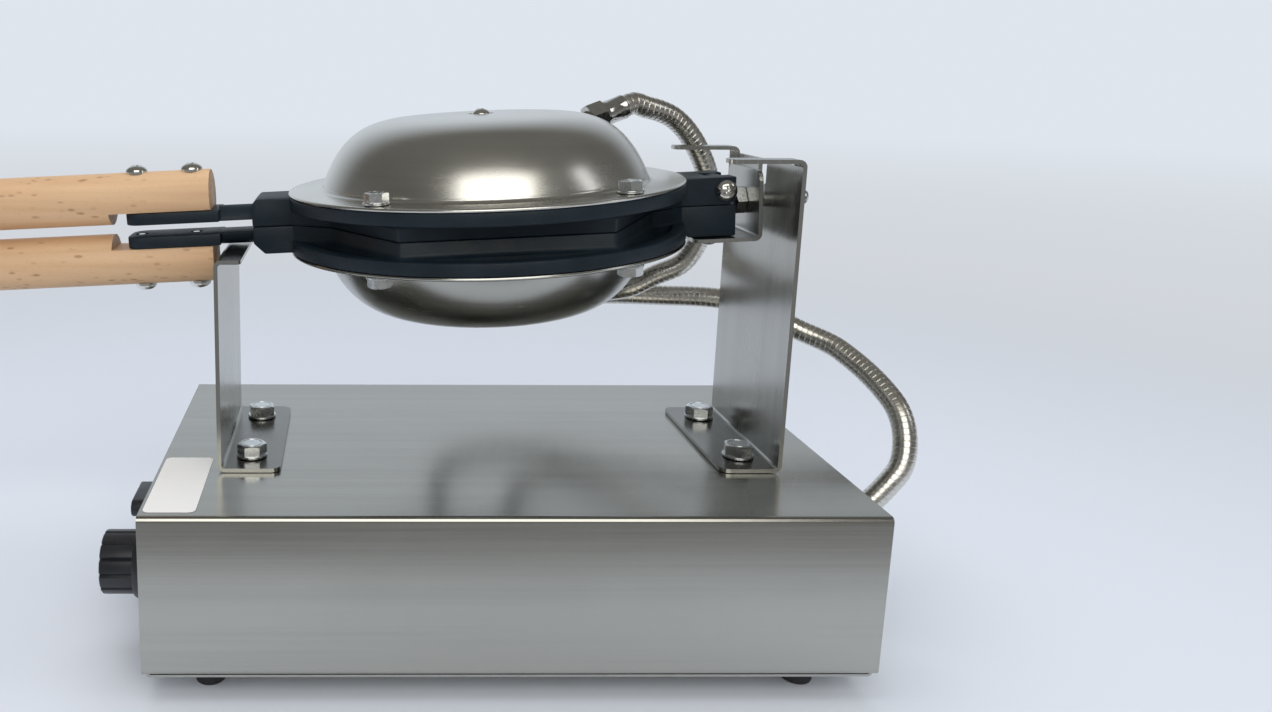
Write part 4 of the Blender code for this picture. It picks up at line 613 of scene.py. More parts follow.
def stand_bolt():
    seat = GAP
    washer = seat + 0.0014
    under = -(STAND_SHEET + BASE_SHEET + 2 * GAP)
    nut = under - 0.0065
    tip = nut - 0.0015
    body = rounded_disc(0.0078, seat, washer, 0.0004)
    join(body, hexagon(M8_ACROSS, seat + 0.0007, washer + 0.0053))
    shank = [(0, seat + 0.0005), (0.004, seat + 0.0005), (0.004, tip), (0.0034, tip - 0.0005), (0, tip - 0.0005)]
    join(body, lathe(shank, 32), hexagon(M8_ACROSS, nut, under, True))
    high, low = washer + 0.0058, washer + 0.00505
    return cut(body, lathe([(0.0044, high), (0.0047, low), (0.0051, low), (0.0054, high)], 48, closed=True))


for number, (x, y) in enumerate(STAND_BOLTS, 1):
    turn = Matrix.Rotation(math.radians(35 * number), 4, "Z")
    at = Matrix.Translation((x, y, BASE_TOP + GAP + STAND_SHEET)) @ turn
    place(f"stand_bolt_{number}", stand_bolt(), ZINC, "base", at, f"upright_bolt_{number}")


def cover_bolt():
    body = rounded_disc(0.0062, 0, 0.0014, 0.0004)
    join(body, hexagon(0.010, 0.0009, 0.0056), bar(0.003, -0.0055, 0.0005, 24))
    groove = [(0.0032, 0.0061), (0.0034, 0.0053), (0.0038, 0.0053), (0.0040, 0.0061)]
    return cut(body, lathe(groove, 40, closed=True))


def cross_screw(radius, length, head_radius, head, low=0.0):
    """A domed head with a cross recess, and a thread."""
    profile = [(0, head)]
    for k in range(1, 9):
        angle = math.radians(90 - 10.5 * k)
        profile.append((head_radius * math.cos(angle), head * math.sin(angle)))
    profile += [(head_radius, head * 0.06), (head_radius * 0.985, low), (radius, low)]
    root, pitch = radius * 0.86, 0.0008
    for k in range(int((length * 0.75) / pitch)):
        z = -length * 0.2 - k * pitch
        profile += [(radius, z), (root, z - pitch / 2)]
    profile += [(root, -length), (0, -length)]
    body = lathe(profile, 40)
    deep = head * 0.42
    wing, thick = head_radius * 0.5, head_radius * 0.085
    half = [(wing, head + OVER), (wing * 0.95, deep + head * 0.2), (wing * 0.35, deep * 0.75)]
    for turn in (0, math.pi / 2):
        slot = turned_about(prism(half + [(-x, z) for x, z in reversed(half)], -thick, thick), math.pi / 2, "X")
        cut(body, turned_about(slot, turn + math.radians(20), "Z"))
    recess = [(0, head + OVER), (head_radius * 0.2, head + OVER), (head_radius * 0.17, deep), (0, deep * 0.7)]
    return cut(body, lathe(recess, 16))


# Moulds, in a frame with Z pointing away from the parting plane

def cell_shapes():
    """Balls for the egg cells, three rings of them about the middle one."""
    bm = bmesh.new()
    for i in range(-3, 4):
        for j in range(-3, 4):
            if abs(i + j) <= 3:
                x, y = CELL_PITCH * (i + j / 2), CELL_PITCH * j * math.sqrt(3) / 2
                size = Matrix.Diagonal((CELL_RADIUS, CELL_RADIUS, CELL_DEPTH, 1))
                matrix = Matrix.Translation((x, y, 0)) @ size
                bmesh.ops.create_uvsphere(bm, u_segments=28, v_segments=14, radius=1, matrix=matrix)
    return as_object(bm)


def cover_bolt_places():
    along = COVER_BOLT_CIRCLE * math.cos(COVER_BOLT_ANGLE)
    across = COVER_BOLT_CIRCLE * math.sin(COVER_BOLT_ANGLE)
    return [(along, across), (-along, across), (-along, -across), (along, -across)]


def plate_outline(radius):
    """The hexagon with its two ends drawn out to meet the lugs."""
    slant = math.sqrt(3)
    flare = 0.030
    quarter = [
        (radius / 2, radius * slant / 2), (radius - flare / slant, flare), (RIM_RADIUS - 0.0015, LUG_HALF - 0.0005),
    ]
    points = quarter + [(x, -y) for x, y in reversed(quarter)]
    points += [(-x, -y) for x, y in quarter] + [(-x, y) for x, y in reversed(quarter)]
    return rounded_outline(points, [0.0025, 0.014, 0.0005, 0.0005, 0.014, 0.0025] * 2)


def cell_plate():
    """The plate with the egg cells: its walls draw out towards the rim and run into it in a fillet."""
    profile = (
        (-0.0006, PARTING), (-0.0002, PARTING + 0.0002), (0.0, PARTING + 0.0006), (0.0003, 0.0054),
        (0.0007, 0.0063), (0.0016, 0.0071), (0.0030, HEX_THICKNESS), (0.0030, 0.0115),
    )
    plate = stacked([(plate_outline(HEX_RADIUS + more), z) for more, z in profile])
    web = bar(HEX_RADIUS - 0.0045, -OVER, PARTING + 0.001, 6, math.radians(30))
    return cut(plate, web, cell_shapes())


def casting(upper):
    plate = cell_plate()
    soft = 0.0009
    rim = [
        (0, RIM_TOP), *arc(RIM_RADIUS - soft, RIM_TOP - soft, soft, 90, 0, 3),
        *arc(RIM_RADIUS - soft, HEX_THICKNESS + soft, soft, 0, -90, 3),
        (0.094, HEX_THICKNESS), (0.0925, HEX_THICKNESS + 0.003), (0, HEX_THICKNESS + 0.003),
    ]
    post_top = COVER_TOP + DOME_HEIGHT - DIMPLE_DEPTH - COVER_SHEET - GAP
    body = join(lathe(rim, 180), bar(0.006, 0.0110, post_top, 32))
    chamfer, lug_end = 0.00275 if upper else 0.0055, -0.1185
    lug = upright_prism([
        (-0.09, PARTING), (-0.09, RIM_TOP), (lug_end + chamfer, RIM_TOP), (lug_end, RIM_TOP - chamfer),
        (lug_end, PARTING),
    ], LUG_HALF, 0.0008)
    neck = turned_about(bar(0.010, -NECK_END, -0.104), math.pi / 2, "Y")
    cut(neck, box((-NECK_END - OVER, -0.012, -0.012), (-0.1, 0.012, TANG_LOW)))
    softened(neck, 0.0005, 2, 40)
    tang_end = -NECK_END - TANG_LENGTH
    tang = box((tang_end, -TANG_WIDTH / 2, TANG_LOW), (-NECK_END + 0.001, TANG_WIDTH / 2, TANG_HIGH))
    softened(tang, 0.007, 6, 30, lambda p, way: abs(way.z) > 0.001 and p.x < tang_end + 0.001)
    softened(tang, 0.0006, 2, 40)
    join(body, lug, neck, tang)
    sink = [(0, 0.0042), (SCREW_HOLE, 0.0042), (0.0035, TANG_LOW - 0.0001), (0, TANG_LOW - 0.0001)]
    for x in SCREW_PLACES:
        cut(body, moved(bar(SCREW_HOLE, TANG_LOW - OVER, TANG_HIGH + OVER, 24), x=x), moved(lathe(sink, 24), x=x))
    if upper:
        rear_fork(body)
    else:
        rear_tongue(body)
    pin_hole = turned_about(bar(PIN_HOLE, -LUG_HALF - OVER, LUG_HALF + OVER, 32), math.pi / 2, "X")
    cut(body, moved(pin_hole, x=HINGE_OFFSET, z=HINGE_RISE if upper else -HINGE_RISE))
    for x, y in cover_bolt_places():
        cut(body, moved(bar(0.0033, COVER_TOP - 0.0061, RIM_TOP + OVER, 20), x=x, y=y))
    return merged(body, plate)


def rear_fork(body):
    clear = HINGE_RISE - PARTING
    lean = math.degrees(math.acos((FORK_END - HINGE_OFFSET) / clear))
    heel = arc(HINGE_OFFSET, HINGE_RISE, clear, -lean, -90, 12)
    side = [(0.09, PARTING), (0.09, RIM_TOP), (FORK_END, RIM_TOP)] + heel
    join(body, upright_prism(side, LUG_HALF, 0.0006))
    cut(body, box((HINGE_OFFSET - 0.0072, -0.0062, PARTING - OVER), (FORK_END + OVER, 0.0062, RIM_TOP + OVER)))


def rear_tongue(body):
    step, eye_radius = 0.1013, 0.0066
    join(body, upright_prism([
        (0.09, PARTING), (0.09, RIM_TOP), (step, RIM_TOP), (step, BRACKET_PAD), (FORK_END, BRACKET_PAD),
        (FORK_END, PARTING),
    ], LUG_HALF, 0.0007))
    eye = arc(HINGE_OFFSET, -HINGE_RISE, eye_radius, 180, 360, 24)
    roots = [(FORK_END - 0.001, RIM_TOP / 2), (HINGE_OFFSET - eye_radius, RIM_TOP / 2)]
    join(body, upright_prism(eye + roots, 0.0059))
    for y in (-BRACKET_SCREW_SPREAD, BRACKET_SCREW_SPREAD):
        cut(body, moved(bar(0.0028, 0.006, 0.018, 20), x=BRACKET_SCREW_X, y=y))


def dome_point(turn, radius, height):
    return (
        radius * math.cos(turn) ** (2 / DOME_SQUARENESS),
        COVER_TOP + height * math.sin(turn) ** (2 / DOME_SLOPE),
    )


def dome():
    top = COVER_TOP + DOME_HEIGHT
    foot, foot_round = 0.0849, 0.0026
    steps = 44
    start, last = math.radians(11.0), math.radians(88)
    turns = [start + (last - start) * k / steps for k in range(steps + 1)]
    outer = [dome_point(t, DOME_RADIUS, DOME_HEIGHT) for t in reversed(turns)]
    inner = [dome_point(t, DOME_RADIUS - COVER_SHEET, DOME_HEIGHT - COVER_SHEET) for t in turns]
    fillet = [
        (foot - foot_round * math.cos(a), COVER_TOP + foot_round * (1 - math.sin(a)))
        for a in (math.radians(degrees) for degrees in (20, 45, 65, 90))
    ]
    edge = [
        (RIM_RADIUS - 0.0012, COVER_TOP), (RIM_RADIUS - 0.0006, COVER_TOP - 0.0001),
        (RIM_RADIUS - 0.0001, COVER_TOP - 0.0005), (RIM_RADIUS, COVER_TOP - 0.0009), (RIM_RADIUS - 0.0003, COVER_SEAT),
    ]
    inside = [(r - COVER_SHEET * 0.8, z - COVER_SHEET * 0.2) for r, z in reversed(fillet[:2])]
    dimple = [
        (0.0028, top - DIMPLE_DEPTH), (0.0055, top - DIMPLE_DEPTH), (0.0060, top - DIMPLE_DEPTH * 0.85),
        (0.0064, top - DIMPLE_DEPTH * 0.3), (0.0068, top - DIMPLE_DEPTH * 0.06), (0.0080, top - 0.00004),
    ]
    beside = 0.0115
    return lathe([
        *dimple, *(p for p in outer if p[0] > beside), *fillet, *edge, (DOME_RADIUS, COVER_SEAT),
        *inside, *(p for p in inner if p[0] > beside), *((r, z - COVER_SHEET) for r, z in reversed(dimple)),
    ], 160, closed=True)


def upper_gland_pose():
    return Vector((0.0584, 0.0422, 0.0402)), Vector((0.922, 0.283, 0.264)).normalized()


def lower_gland_pose(degrees):
    """A place on the lower dome and the way out of it, square to the dome."""
    azimuth, share = math.radians(degrees), math.radians(43.7)
    r, z = dome_point(share, DOME_RADIUS, DOME_HEIGHT)
    out = DOME_SQUARENESS * math.cos(share) ** (2 - 2 / DOME_SQUARENESS) / DOME_RADIUS
    down = DOME_SLOPE * math.sin(share) ** (2 - 2 / DOME_SLOPE) / DOME_HEIGHT
    lean = math.atan2(down, out)
    point = Vector((r * math.cos(azimuth), r * math.sin(azimuth), -z))
    way = Vector((math.cos(lean) * math.cos(azimuth), math.cos(lean) * math.sin(azimuth), -math.sin(lean)))
    return point, way


def at_gland(obj, point, way):
    obj.data.transform(Vector((0, 0, 1)).rotation_difference(way).to_matrix().to_4x4())
    return moved(obj, *point)


def gland(inside, start, nut_length, ferrule_length, sleeve=0.0):
    """A connector along Z: stub, hex nut and ferrule, with a sleeve drawn over the start of the hose."""
    nut_end = start + nut_length
    seat = nut_end + ferrule_length
    end = seat + sleeve
    outer = 0.0069 if sleeve else 0.0066
    waist = outer - 0.00015
    bore = seat + 0.0002 if sleeve else seat
    lip = [(HOSE_RADIUS + 0.00015, bore), (HOSE_RADIUS + 0.00015, end)] if sleeve else []
    body = lathe(lip + [
        (outer - 0.0005, end), (outer - 0.0002, end - 0.0001), (outer, end - 0.0004), (outer, end - 0.0016),
        (waist, end - 0.0019), (waist, nut_end + 0.0022), (outer, nut_end + 0.0019), (outer, nut_end + 0.0002),
        (0.0063, nut_end), (0.0052, nut_end - nut_length / 2), (0.0052, -inside), (0.0038, -inside), (0.0038, bore),
    ], 64, closed=True)
    nut = cut(hexagon(0.015, start, nut_end, True), bar(0.0051, start - OVER, nut_end + OVER, 32))
    return join(body, nut)


def handle():
    """A turned handle along X with a half lap over the tang."""
    grip = lathe([
        (0, HANDLE_LENGTH), *arc(HANDLE_RADIUS - HANDLE_ROUND, HANDLE_LENGTH - HANDLE_ROUND, HANDLE_ROUND, 90, 0, 10),
        (HANDLE_RADIUS, 0.0006), (HANDLE_RADIUS - 0.0002, 0.0002), (HANDLE_RADIUS - 0.0007, 0), (0, 0),
    ], 96)
    turned_about(grip, -math.pi / 2, "Y")
    moved(grip, x=-HANDLE_FRONT, z=HANDLE_RISE)
    cut(grip, box((-HANDLE_FRONT - HANDLE_LAP, -0.016, 0), (-HANDLE_FRONT + OVER, 0.016, TANG_HIGH + GAP)))
    return cut(grip, *(moved(bar(SCREW_HOLE, 0, 0.032, 20), x=x) for x in SCREW_PLACES))


for side, base_frame in (("lower", LOWER), ("upper", UPPER)):
    upper = side == "upper"
    body = f"{side}_head"
    place(f"{side}_casting", casting(upper), CAST, body, base_frame, f"{side}_mould", 28)
    cover = dome()
    if upper:
        cut(cover, at_gland(bar(0.0055, -0.022, 0.022, 32), *upper_gland_pose()))
    else:
        for degrees in (LOOP_AZIMUTH, SUPPLY_AZIMUTH):
            point, way = lower_gland_pose(degrees)
            over = Vector((1, -1, -1))
            cut(cover, at_gland(bar(0.0055, -0.008, 0.008, 32), point * over, way * over))
    place(f"{side}_dome", cover, DOME if upper else LOW_DOME_PAINTED_SHADE, body, base_frame, f"{side}_cover", 40)
    for number, (x, y) in enumerate(cover_bolt_places(), 1):
        at = Matrix.Translation((x, y if upper else -y, COVER_TOP + GAP))
        turn = Matrix.Rotation(math.radians(17 + 23 * number), 4, "Z")
        place(
            f"{side}_flange_bolt_{number}", cover_bolt(), ZINC, body, base_frame @ at @ turn,
            f"{side}_cover_bolt_{number}",
        )
    at = Matrix.Translation((0, 0, COVER_TOP + DOME_HEIGHT - DIMPLE_DEPTH + GAP))
    screw = cross_screw(0.0025, 0.014, 0.005, 0.0038)
    place(f"{side}_dome_screw", screw, CHROME, body, base_frame @ at, f"{side}_centre_screw")
    place(f"{side}_beech_handle", handle(), BEECH, body, base_frame, f"{side}_handle", 35)
    seat = HANDLE_RISE + HANDLE_RADIUS + GAP
    for number, x in enumerate(SCREW_PLACES, 1):
        screw = cross_screw(0.002, seat - TANG_LOW, 0.0057, 0.0034, -0.0011)
        place(
            f"{side}_handle_cross_screw_{number}", screw, CHROME, body, base_frame @ Matrix.Translation((x, 0, seat)),
            f"{side}_handle_screw_{number}",
        )

UPPER_SIZES = (0.0065, 0.010, 0.006)
LOWER_SIZES = (GAP, 0.006, 0.008)
shape = at_gland(gland(0.011, *UPPER_SIZES, 0.0075), *upper_gland_pose())
place("upper_connector", shape, TUBE, "upper_head", UPPER, "upper_gland")
for name, degrees in (("loop", LOOP_AZIMUTH), ("supply", SUPPLY_AZIMUTH)):
    shape = at_gland(gland(0.004, *LOWER_SIZES), *lower_gland_pose(degrees))
    place(f"{name}_connector", shape, TUBE, "lower_head", UPPER, f"lower_{name}_gland")


# Hinge pin, bracket screws and pivot

def on_upper(x, y, z, turn):
    return UPPER @ Matrix.Translation((x, y, z)) @ Matrix.Rotation(turn, 4, "X")


half = LUG_HALF + GAP
pin = cross_screw(0.003, 2 * half + GAP + 0.0055, 0.0055, 0.0036)
at = on_upper(HINGE_OFFSET, -half, HINGE_RISE, math.pi / 2)
place("hinge_screw", pin, CHROME, "lower_head", at, "hinge_pin")
nut_end = half + 0.004
nut = cut(hexagon(0.010, half, nut_end, True), bar(PIN_HOLE, half - OVER, nut_end + OVER, 24))
at = on_upper(HINGE_OFFSET, 0, HINGE_RISE, -math.pi / 2)
place("hinge_hex_nut", nut, CHROME, "lower_head", at, "hinge_nut")
for number, y in enumerate((-BRACKET_SCREW_SPREAD, BRACKET_SCREW_SPREAD), 1):
    at = on_upper(BRACKET_SCREW_X, y, -(BRACKET_PAD + GAP + BRACKET_SHEET + GAP), math.pi)
    screw = cross_screw(0.0025, 0.010, 0.0048, 0.0026)
    place(f"bracket_cross_screw_{number}", screw, ZINC, "lower_head", at, f"bracket_screw_{number}")

ALONG = HEAD @ Matrix.Rotation(math.pi / 2, 4, "Y")
head_end = -0.010 - GAP
washer_start = STAND_SHEET / 2 + 0.0012
nut_start = washer_start + 0.0016 + GAP
bolt_end = nut_start + 0.0066 + 0.012
profile = [(0, bolt_end), (0.0032, bolt_end), (0.0036, bolt_end - 0.0006)]
z = bolt_end - 0.001
while z > nut_start - 0.001:
    profile += [(0.004, z), (0.0034, z - 0.00055)]
    z -= 0.0011
profile += [(0.004, z), (0.004, head_end - 0.002), (0, head_end - 0.002)]
bolt = join(lathe(profile, 40), turned_about(moved(hexagon(M8_ACROSS, 0, 0.0053), z=-head_end), math.pi, "X"))
place("pivot_hex_bolt", bolt, ZINC, "pivot", ALONG, "pivot_bolt")
for name, node, start, height in (
    ("pivot_jam_nut", "pivot_spacer_nut", -0.008 + GAP, 0.0046),
    ("pivot_flat_washer", "pivot_washer", washer_start, 0.0016),
    ("pivot_outer_nut", "pivot_end_nut", nut_start, 0.0066),
):
    if node == "pivot_washer":
        ring = rounded_disc(0.008, start, start + height, 0.0003, 0.0043)
    else:
        ring = hexagon(M8_ACROSS, start, start + height, True)
        cut(ring, bar(0.0043, start - OVER, start + height + OVER, 32))
    place(name, ring, ZINC, "pivot", ALONG, node)


# Connectors on the right end wall

RIGHTWARD, LEFTWARD = (Matrix.Rotation(turn, 4, "Y") for turn in (math.pi / 2, -math.pi / 2))
nut_top = GAP + 0.003
collar = nut_top + 0.0023
shape = lathe([
    (0.0062, collar), (0.0066, collar - 0.0004), (0.0066, nut_top), (0.0089, nut_top), (0.0094, nut_top - 0.0004),
    (0.0095, nut_top - 0.001), (0.0095, GAP + 0.0003), (0.0092, GAP), (0.0052, GAP), (0.0052, -0.0052),
    (0.0038, -0.0052), (0.0038, collar),
], 64, closed=True)
at = Matrix.Translation(BASE_GLAND) @ RIGHTWARD
place("base_connector", shape, TUBE, "base", at, "base_gland")
shape = lathe([
    (0.0045, 0.0148), (0.0058, 0.0148), (0.0063, 0.0145), (0.0067, 0.0138), (0.0080, 0.0110), (0.0084, 0.0098),
    (0.0085, 0.0090), (0.0085, GAP), (0.0065, GAP), (0.0065, -0.0052), (0.0042, -0.0052), (0.0042, 0.0142),
], 64, closed=True)
for k in range(14):
    groove = moved(box((-0.0004, -0.0009, 0.0058), (0.0012, 0.0009, 0.0155)), x=0.0085)
    cut(shape, turned_about(groove, 2 * math.pi * k / 14, "Z"))
join(shape, cut(hexagon(0.019, GAP, 0.0049), bar(0.0084, -OVER, 0.008, 48)))
at = Matrix.Translation(MAINS_GLAND) @ RIGHTWARD
place("mains_inlet", shape, PLASTIC, "base", at, "mains_gland")


# Conduits: wound steel bands along the routes of the part

LOOP_ROUTE = (
    (-0.0782, 0.1530, 0.2553), (-0.0702, 0.1555, 0.2533), (-0.0625, 0.1580, 0.2501), (-0.0555, 0.1600, 0.2449),
    (-0.0502, 0.1615, 0.2392), (-0.0452, 0.1630, 0.2323), (-0.0382, 0.1655, 0.2191), (-0.0323, 0.1680, 0.1982),
    (-0.0378, 0.1690, 0.1790), (-0.0466, 0.1700, 0.1637), (-0.0623, 0.1720, 0.1553), (-0.0781, 0.1760, 0.1465),
    (-0.0980, 0.1880, 0.1420), (-0.1160, 0.2000, 0.1430),
)
SUPPLY_ROUTE = (
    (-0.1800, 0.2110, 0.1400), (-0.1550, 0.2170, 0.1330), (-0.1200, 0.2150, 0.1320), (-0.0900, 0.2060, 0.1360),
    (-0.0548, 0.1940, 0.1381), (-0.0182, 0.1760, 0.1398), (0.0006, 0.1670, 0.1346), (0.0197, 0.1580, 0.1258),
    (0.0385, 0.1420, 0.1175), (0.0529, 0.1080, 0.0987), (0.0543, 0.0940, 0.0820), (0.0472, 0.0870, 0.0632),
)
# One turn of the band: share of a turn, and share of the hose's radius
BAND = ((0.0, 0.93), (0.04, 0.93), (0.05, 0.985), (0.1, 1.0), (0.5, 0.996), (0.9, 0.985), (0.94, 0.975), (0.95, 0.93))
SIDES = 32


def smooth_route(start, start_way, route, end, end_way):
    straight = 2 * HOSE_RADIUS
    middle = [Vector((BASE_RIGHT + x, y + BASE_FRONT, BASE_LOW + z)) for x, y, z in route]
    knots = [start + start_way * straight, *middle, end + end_way * straight]
    ways = [start_way * straight] + [(b - a) / 2 for a, b in zip(knots, knots[2:])] + [-end_way * straight]
    fine = [start + start_way * straight * k / 8 for k in range(8)]
    for i in range(len(knots) - 1):
        span = (knots[i + 1] - knots[i]).length
        first, second = ways[i].normalized() * span, ways[i + 1].normalized() * span
        for k in range(24):
            t = k / 24
            fine.append(
                knots[i] * (2 * t**3 - 3 * t**2 + 1) + first * (t**3 - 2 * t**2 + t)
                + knots[i + 1] * (3 * t**2 - 2 * t**3) + second * (t**3 - t**2)
            )
    return fine + [end + end_way * straight * (8 - k) / 8 for k in range(9)]


def run_lengths(points):
    lengths = [0.0]
    for a, b in zip(points, points[1:]):
        lengths.append(lengths[-1] + (b - a).length)
    return lengths


def hose(points, first_share=0.0, last_share=1.0):
    """A band wound along the points, drawn between two shares of their length."""
    lengths = run_lengths(points)
    total = lengths[-1]
    frames = []
    side = None
    for i, point in enumerate(points):
        way = (points[min(i + 1, len(points) - 1)] - points[max(i - 1, 0)]).normalized()
        if side is None:
            side = way.orthogonal().normalized()
        side = (side - way * side.dot(way)).normalized()
        frames.append((point, side.copy(), way.cross(side)))
    at = 0

    def spot(s, angle, share):
        nonlocal at
        s = min(max(s, 0.0), total)
        while at < len(points) - 2 and lengths[at + 1] < s:
            at += 1
        while at > 0 and lengths[at] > s:
            at -= 1
        part = (s - lengths[at]) / (lengths[at + 1] - lengths[at])
        (p, a, b), (q, c, d) = frames[at], frames[at + 1]
        u, v = a.lerp(c, part), b.lerp(d, part)
        return p.lerp(q, part) + (u * math.cos(angle) + v * math.sin(angle)) * HOSE_RADIUS * share

    low, high = total * first_share, total * last_share
    bm = bmesh.new()
    rows = []
    for turn in range(int(low / HOSE_PITCH) - 2, int(high / HOSE_PITCH) + 2):
        for phase, share in BAND:
            row = []
            for k in range(SIDES):
                s = min(max(HOSE_PITCH * (turn + phase + k / SIDES), low), high)
                row.append(bm.verts.new(spot(s, 2 * math.pi * k / SIDES, share)))
            rows.append(row)
    for i, (here, there) in enumerate(zip(rows, rows[1:])):
        for k in range(SIDES - 1):
            bm.faces.new((here[k], here[k + 1], there[k + 1], there[k]))
        onward = i + len(BAND)
        if onward + 1 < len(rows):
            bm.faces.new((here[-1], rows[onward][0], rows[onward + 1][0], there[-1]))
    bmesh.ops.remove_doubles(bm, verts=bm.verts[:], dist=1e-7)
    bmesh.ops.dissolve_degenerate(bm, edges=bm.edges, dist=1e-8)
    bmesh.ops.delete(bm, geom=[v for v in bm.verts if not v.link_faces], context="VERTS")
    return as_object(bm)


def gland_end(pose, sizes):
    """Where a hose leaves its connector on the head, and the way it leaves."""
    point, way = pose
    return UPPER @ (point + way * (sum(sizes) + GAP)), (UPPER.to_3x3() @ way).normalized()


def place_hose(name, shape, node):
    return place(name, shape, HOSE, None, node=node, smooth=17)


loop_start, loop_start_way = gland_end(upper_gland_pose(), UPPER_SIZES)
loop_end, loop_end_way = gland_end(lower_gland_pose(LOOP_AZIMUTH), LOWER_SIZES)
loop = smooth_route(loop_start, loop_start_way, LOOP_ROUTE, loop_end, loop_end_way)
shape = place_hose("loop_hose", hose(loop), "loop_conduit")
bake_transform(shape)

supply_start, supply_start_way = gland_end(lower_gland_pose(SUPPLY_AZIMUTH), LOWER_SIZES)
supply_end = Vector(BASE_GLAND) + Vector((collar + GAP, 0, 0))
supply = smooth_route(supply_start, supply_start_way, SUPPLY_ROUTE, supply_end, Vector((1, 0, 0)))
lengths = run_lengths(supply)
# Two places along the route, where it stays clear of the base and mostly of the stand; the hose is drawn in two pieces
# cut at the second
settled, half_way = (
    min(range(len(supply)), key=lambda k: abs(lengths[k] - lengths[-1] * share)) for share in (0.09, 0.54)
)
share = lengths[half_way] / lengths[-1]
near = place_hose("supply_hose_dome_end", hose(supply, 0.0, share), "supply_conduit")
far = place_hose("supply_hose_base_end", hose(supply, share, 1.0), "supply_conduit")
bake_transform(far)
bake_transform(near)


# Knobs, each along its own Z with the plate at zero

def knob(outline, soft):
    """A grip of this outline on a round skirt."""
    grip_low, grip_top = 0.004, 0.024
    low, top, neck, edge = 0.0004, 0.008, 0.0165, 0.0245
    skirt = lathe([
        (0, top + GAP), (neck, top), (neck + 0.0006, top - 0.0008), (neck + 0.0014, top * 0.55),
        (edge - 0.0028, low + 0.0022), (edge - 0.0006, low + 0.0014), (edge, low + 0.0009), (edge, low + 0.0003),
        (edge - 0.0004, low), (0, low),
    ], 96)
    grip = prism(outline, grip_low, grip_top)
    softened(grip, soft, 3, 60, lambda p, way: p.z > grip_top - 0.0005 and abs(way.z) < 1e-6)
    return cut(join(skirt, grip), bar(0.0033, -OVER, 0.012, 24))


def grooved_outline():
    radius = 0.0152
    points = []
    for base in range(0, 360, 30):
        middle = math.radians(base + 30)
        points += arc(0, 0, radius, base + 4.2, base + 25.8, 8)
        points.append(((radius - 0.0011) * math.cos(middle), (radius - 0.0011) * math.sin(middle)))
    return points


def winged_outline():
    radius, reach = 0.00475, 0.01175
    return arc(0, reach, radius, 0, 180, 20) + arc(0, -reach, radius, 180, 360, 20)


for name, shape, y in (
    ("thermostat", knob(grooved_outline(), 0.0012), THERMOSTAT_Y), ("timer", knob(winged_outline(), 0.0011), TIMER_Y),
):
    at = Matrix.Translation((PLATE_FACE, y, KNOB_Z)) @ LEFTWARD
    body = f"{name}_control"
    place(f"{name}_dial", shape, PLASTIC, body, at, f"{name}_knob", 30)
    # A raised white pointer on the skirt, at the top
    mark = box((0.0196, -0.0006, 0.0), (0.0226, 0.0006, 0.0029), 0.0002)
    place(f"{name}_pointer", mark, WHITE, body, at)


# Signal lamps

for name, z, look in (("power_lamp", 0.028, GREEN_LENS), ("heat_lamp", 0.052, RED_LENS)):
    at = Matrix.Translation((PLATE_FACE, LAMP_Y, BASE_LOW + z)) @ LEFTWARD
    bezel = lathe([
        (0.0047, 0.0019), (0.0049, 0.0021), (0.0060, 0.0021), (0.0068, 0.0014), (0.0070, 0.0008), (0.0070, GAP),
        (0.0050, GAP), (0.0050, -0.012), (0.0043, -0.012), (0.0043, 0.0016),
    ], 48, closed=True)
    place(f"{name}_bezel", bezel, CHROME, "base", at, name)
    cap = lathe([
        (0, 0.0060), (0.0015, 0.00585), (0.0030, 0.0052), (0.0040, 0.0038), (0.0044, 0.0022), (0.0045, 0.0017),
        (0, 0.0017),
    ], 40)
    place(f"{name}_lens", cap, look, "base", at)


# Dial numbers and marks on the control plate

def on_plate(y, z):
    """Text and marks: their X runs to -Y, their Y runs up, and they face -X."""
    turn = Matrix(((0, 0, -1), (-1, 0, 0), (0, 1, 0))).to_4x4()
    return Matrix.Translation((PLATE_FACE - 0.00005, y, z)) @ turn


def number_mesh(text, size):
    curve = bpy.data.curves.new("number", "FONT")
    curve.body = text
    curve.size = size
    curve.align_x, curve.align_y = "CENTER", "CENTER"
    curve.extrude = 0.00004
    obj = linked(bpy.data.objects.new("number", curve))
    mesh = evaluated(obj)
    bpy.data.objects.remove(obj, do_unlink=True)
    return linked(bpy.data.objects.new("number", mesh))


SWEEP, TICKS = 270, 25
NUMBER_RING, TIGHT_HEIGHT, TIGHT_PLACE = 0.0292, 0.0268, 0.0280
for name, y, marks in (
    ("thermostat", THERMOSTAT_Y, ("0", "50", "100", "150", "200", "250", "300")),
    ("timer", TIMER_Y, ("0", "1", "2", "3", "4", "5")),
):
    made = []
    for k, text in enumerate(marks):
        angle = math.radians(90 - SWEEP * k / (len(marks) - 1))
        x, up = NUMBER_RING * math.cos(angle), NUMBER_RING * math.sin(angle)
        if abs(up) > TIGHT_HEIGHT:
            up = math.copysign(TIGHT_PLACE, up)
        digit = number_mesh(text, 0.0052 if len(text) < 3 else 0.0044)
        made.append(moved(digit, x=x, y=up))
    for k in range(TICKS):
        tick = box((0.0251, -0.0001, -0.00004), (0.0258, 0.0001, 0.00004))
        made.append(turned_about(tick, math.radians(90 - SWEEP * k / (TICKS - 1)), "Z"))
    place(f"{name}_scale", merged(*made), WHITE, "base", on_plate(y, KNOB_Z))


# Blank label on the base's top

